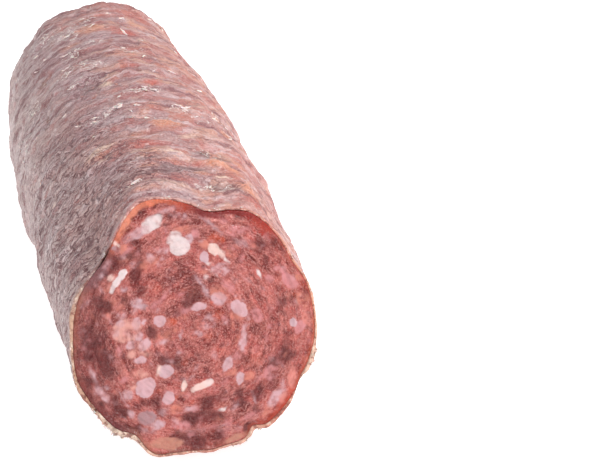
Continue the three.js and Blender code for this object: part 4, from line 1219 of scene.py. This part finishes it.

# %% [markdown]
# ## What cured meat looks like
#
# Cured lean is dark red muscle, freshly cut and moist: roughness 0.12 where it is
# wet to 0.34 where it is dry, IOR 1.36, and light goes a millimetre or so into
# it, which softens it. Fat is paler and is cut smoother. The attributes say
# which is which. Chopped pieces of lean each have a tone of their own, from a
# Voronoi texture. Noise over the direction from the middle and the distance from
# it gives streaks that follow the rings, and plain noise in Object coordinates
# adds the grain that is too fine for the mesh. The grain's pale specks are
# painted glints of the wet cut, and the pale fine streaks are partly fibres and
# partly painted glint lines.


# %% Material of the filling
def filling_material():
    material, tree, where = new_material("cured meat and back fat")
    noise = {
        key: add(tree, "ShaderNodeTexNoise", {
            "Vector": where, "Scale": per_mm(size), "Detail": detail,
        }).outputs[0]
        for key, size, detail in (
            ("sand", 0.42, 2), ("grain", 0.8, 4), ("speck", 1.2, 3), ("blotch", 3.0, 4), ("cloudy", 10, 2),
        )
    }
    for key in ("fat", "halo", "fibre", "rust", "dark", "rim"):
        noise[key] = add(tree, "ShaderNodeAttribute", attribute_name=key).outputs["Fac"]
    noise["side"] = add(tree, "ShaderNodeSeparateXYZ", {"Vector": where}).outputs["X"]

    # Streaks along the rings: noise over the direction from the middle and the distance from it
    from_middle = add(tree, "ShaderNodeVectorMath", {
        0: where, 1: (-OFFSET[0] * MM, 0, -AXIS_HEIGHT * MM),
    }, operation="ADD")
    flat = add(tree, "ShaderNodeVectorMath", {0: from_middle.outputs[0], 1: (1, 0, 1)},
               operation="MULTIPLY").outputs[0]
    direction = add(tree, "ShaderNodeVectorMath", {0: flat}, operation="NORMALIZE")
    distance = add(tree, "ShaderNodeVectorMath", {0: flat}, operation="LENGTH").outputs["Value"]
    parts = add(tree, "ShaderNodeSeparateXYZ", {"Vector": direction.outputs[0]}).outputs
    wavy = add(tree, "ShaderNodeMath", {0: noise["blotch"], 1: 3.2 * MM, 2: distance},
               operation="MULTIPLY_ADD")
    for key, along, across, detail in (("streak", 6.0, 2.4, 3), ("fine streak", 13.0, 5.6, 2)):
        round_it = add(tree, "ShaderNodeCombineXYZ", {"X": parts["X"], "Y": 0.0, "Z": parts["Z"]})
        scaled = add(tree, "ShaderNodeVectorMath", {0: round_it.outputs[0], "Scale": along},
                     operation="SCALE")
        outwards = add(tree, "ShaderNodeMath", {0: wavy.outputs[0], 1: across / MM / 2},
                       operation="MULTIPLY")
        third = add(tree, "ShaderNodeCombineXYZ", {"Y": outwards.outputs[0]})
        polar = add(tree, "ShaderNodeVectorMath", {0: scaled.outputs[0], 1: third.outputs[0]},
                    operation="ADD")
        noise[key] = add(tree, "ShaderNodeTexNoise", {
            "Vector": polar.outputs[0], "Scale": 1.0, "Detail": detail, "Roughness": 0.55,
        }).outputs[0]

    # Chopped pieces: cells with ragged borders, each with a random tone
    ragged = add(tree, "ShaderNodeTexNoise", {"Vector": where, "Scale": per_mm(1.6), "Detail": 3})
    warped = add(tree, "ShaderNodeVectorMath", {
        0: ragged.outputs["Color"], 1: (2.4 * MM, 2.4 * MM, 2.4 * MM), 2: where,
    }, operation="MULTIPLY_ADD").outputs[0]
    for key, size in (("large pieces", 3.6), ("small pieces", 1.5)):
        piece = add(tree, "ShaderNodeTexVoronoi", {
            "Vector": warped, "Scale": per_mm(size), "Smoothness": 0.35,
        }, feature="SMOOTH_F1").outputs["Color"]
        noise[key] = add(tree, "ShaderNodeSeparateColor", {0: piece}).outputs[0]

    tints = {
        key: add(tree, "ShaderNodeAttribute", attribute_name=key).outputs["Color"]
        for key in ("tint", "rim_tint")
    }

    # Tints laid over each other: which value, from where to where, how strong at most
    colour = linear("#8d322e")
    for key, start, end, strength, tint in (
        ("cloudy", 0.45, 0.65, 0.45, "#7a302f"), ("side", -0.008, -0.027, 0.75, "#571f21"),
        ("side", 0.002, 0.022, 0.40, "#a84f49"),
        ("large pieces", 0.45, 0.15, 0.75, "#5e1c1c"), ("large pieces", 0.55, 0.85, 0.7, "#b0504a"),
        ("small pieces", 0.42, 0.15, 0.60, "#641a19"), ("small pieces", 0.58, 0.85, 0.60, "#bd6860"),
        ("blotch", 0.46, 0.32, 0.45, "#5c1717"), ("streak", 0.48, 0.30, 0.42, "#5e1516"),
        ("streak", 0.50, 0.70, 0.50, "#bd6a62"), ("fine streak", 0.48, 0.34, 0.30, "#5c1412"),
        # The pale fine streaks are partly fibres and partly painted glint lines
        ("fine streak", 0.52, 0.66, 0.60, "#cf8d86"), ("fibre", 0.05, -0.7, 0.30, "#5a1616"),
        ("fibre", 0.05, 0.75, 0.35, "#c87b73"), ("rust", 0.1, 0.9, 0.65, "#c44c2a"),
        ("halo", 0.1, 0.9, 0.40, "#b8645c"), ("sand", 0.47, 0.36, 0.28, "#5c1514"),
        # The pale specks are painted glints of the wet cut
        ("sand", 0.53, 0.64, 0.35, "#cf8f88"), ("side", -0.017, -0.026, 0.40, "#561c1e"),
        # Dark lean, with painted shade in the gaps between pieces, then the rim's colour, painted shade in
        # the crevice
        ("dark", 0.10, 0.85, 0.78, "#4e1014"), ("rim", 0.0, 1.0, 1.0, tints["rim_tint"]),
        ("fat", 0.0, 1.0, 1.0, tints["tint"]), ("blotch", 0.44, 0.32, 0.16, "#984e49"),
        ("speck", 0.46, 0.34, 0.12, "#944b46"),
    ):
        amount = add(tree, "ShaderNodeMapRange", {
            "Value": noise[key], "From Min": start, "From Max": end, "To Min": 0.0, "To Max": strength,
        }, interpolation_type="SMOOTHSTEP")
        colour = add(tree, "ShaderNodeMix", {
            0: amount.outputs[0], 6: colour, 7: linear(tint) if isinstance(tint, str) else tint,
        }, data_type="RGBA").outputs[2]

    # The height of all these together, in metres
    height = 0.0
    for key, size in (
        ("speck", 0.40 * MM), ("grain", 0.42 * MM), ("blotch", 0.5 * MM), ("fibre", 0.12 * MM),
        ("streak", 0.30 * MM), ("fine streak", 0.12 * MM),
    ):
        height = add(tree, "ShaderNodeMath", {0: noise[key], 1: size, 2: height},
                     operation="MULTIPLY_ADD").outputs[0]
    # Fat is cut smoother than lean
    bumpiness = add(tree, "ShaderNodeMath", {0: noise["fat"], 1: -0.65, 2: 1.0}, operation="MULTIPLY_ADD")
    relief = add(tree, "ShaderNodeBump", {
        "Strength": bumpiness.outputs[0], "Distance": 1.0, "Height": height,
    })
    shine = add(tree, "ShaderNodeMapRange", {
        "Value": noise["speck"], "From Min": 0.3, "From Max": 0.7, "To Min": 0.34, "To Max": 0.12,
    })
    shader = add(tree, "ShaderNodeBsdfPrincipled", {
        "Base Color": colour, "Roughness": shine.outputs[0], "IOR": 1.36, "Normal": relief.outputs[0],
        "Subsurface Weight": 0.12, "Subsurface Radius": (1.0, 0.35, 0.25), "Subsurface Scale": 1.2 * MM,
    })
    add(tree, "ShaderNodeOutputMaterial", {"Surface": shader.outputs[0]})
    return material


filling_finish = filling_material()
filling.data.materials.append(filling_finish)
print("filling's finish has", len(filling_finish.node_tree.nodes), "nodes")

# %% [markdown]
# ## On the frame
#
# Each piece rides on the body of the frame and stands for the solid that it
# covers, and that solid is hidden.

# %% Put each piece on the frame and hide the solid it covers
for piece, node in ((casing, "casing"), (filling, "meat")):
    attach(piece, "root")
    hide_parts(node)
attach(scrap_piece, "root")

# %% [markdown]
# ## Floor, light and camera
#
# The sausage lies on a white light table, which is why there is hardly a shadow
# and the underside isn't dark. One large soft light stands to the upper right, a
# weaker one in front and one on the left. A small low one in front gives the wet
# glints on the cut, and the white surroundings fill the rest, as in a light
# tent. The camera looks down at the cut from the left.

# %% Floor
bpy.ops.mesh.primitive_plane_add(size=6, location=(0, 0, 0))
floor = bpy.context.object
floor.name = "floor"
floor_finish = bpy.data.materials.new("opal glass of the light table")
floor_finish.use_nodes = True
floor_shader = floor_finish.node_tree.nodes["Principled BSDF"]
floor_shader.inputs["Base Color"].default_value = linear("#d9d9d9")
floor_shader.inputs["Roughness"].default_value = 0.9
floor_shader.inputs["Emission Color"].default_value = (1, 1, 1, 1)
floor_shader.inputs["Emission Strength"].default_value = 0.7
floor.data.materials.append(floor_finish)

# %% Light
surroundings = bpy.data.worlds.new("light tent")
bpy.context.scene.world = surroundings
surroundings.use_nodes = True
# The tent lights the sausage at half strength, but the camera sees it as plain white
seen = add(surroundings.node_tree, "ShaderNodeLightPath").outputs["Is Camera Ray"]
strength = add(surroundings.node_tree, "ShaderNodeMath", {0: seen, 1: 0.5, 2: 0.5},
               operation="MULTIPLY_ADD")
tent = surroundings.node_tree.nodes["Background"]
tent.inputs["Color"].default_value = (1, 1, 1, 1)
surroundings.node_tree.links.new(strength.outputs[0], tent.inputs["Strength"])

LIGHTS_AIM = Vector((0, -0.03, 0.03))
# Each light's place and size in metres, and its power in watts
for name, spot, size, power in (
    ("key light", (0.42, -0.16, 0.62), 0.22, 5.2),
    ("front light", (0.12, -0.78, 0.42), 0.30, 0.95),
    ("left light", (-0.60, 0.05, 0.30), 0.40, 1.5),
    ("glint light", (0.05, -0.80, 0.16), 0.05, 0.35),
):
    lamp = bpy.data.lights.new(name, "AREA")
    lamp.size = size
    lamp.energy = power
    holder = bpy.data.objects.new(name, lamp)
    holder.location = spot
    holder.rotation_euler = (LIGHTS_AIM - Vector(spot)).to_track_quat("-Z", "Y").to_euler()
    bpy.context.scene.collection.objects.link(holder)

# %% Camera
# Its place is in millimetres from the floor under the cut's middle, its angles in degrees
IMAGE_WIDTH = 600
FOCAL_PIXELS = 1600
CAMERA_FROM_CUT = (-62.0, -328.0, 222.8)
LOOKS_DOWN = 26.42
LOOKS_RIGHT = 15.0

camera_data = bpy.data.cameras.new("camera")
camera_data.sensor_fit = "HORIZONTAL"
camera_data.sensor_width = 36
camera_data.lens = camera_data.sensor_width * FOCAL_PIXELS / IMAGE_WIDTH
camera = bpy.data.objects.new("camera", camera_data)
camera.location = Vector((np.array(CAMERA_FROM_CUT) + OFFSET) * MM)
camera.rotation_euler = (math.radians(90 - LOOKS_DOWN), 0, math.radians(-LOOKS_RIGHT))
bpy.context.scene.collection.objects.link(camera)
bpy.context.scene.camera = camera
bpy.context.scene.view_settings.view_transform = "Standard"
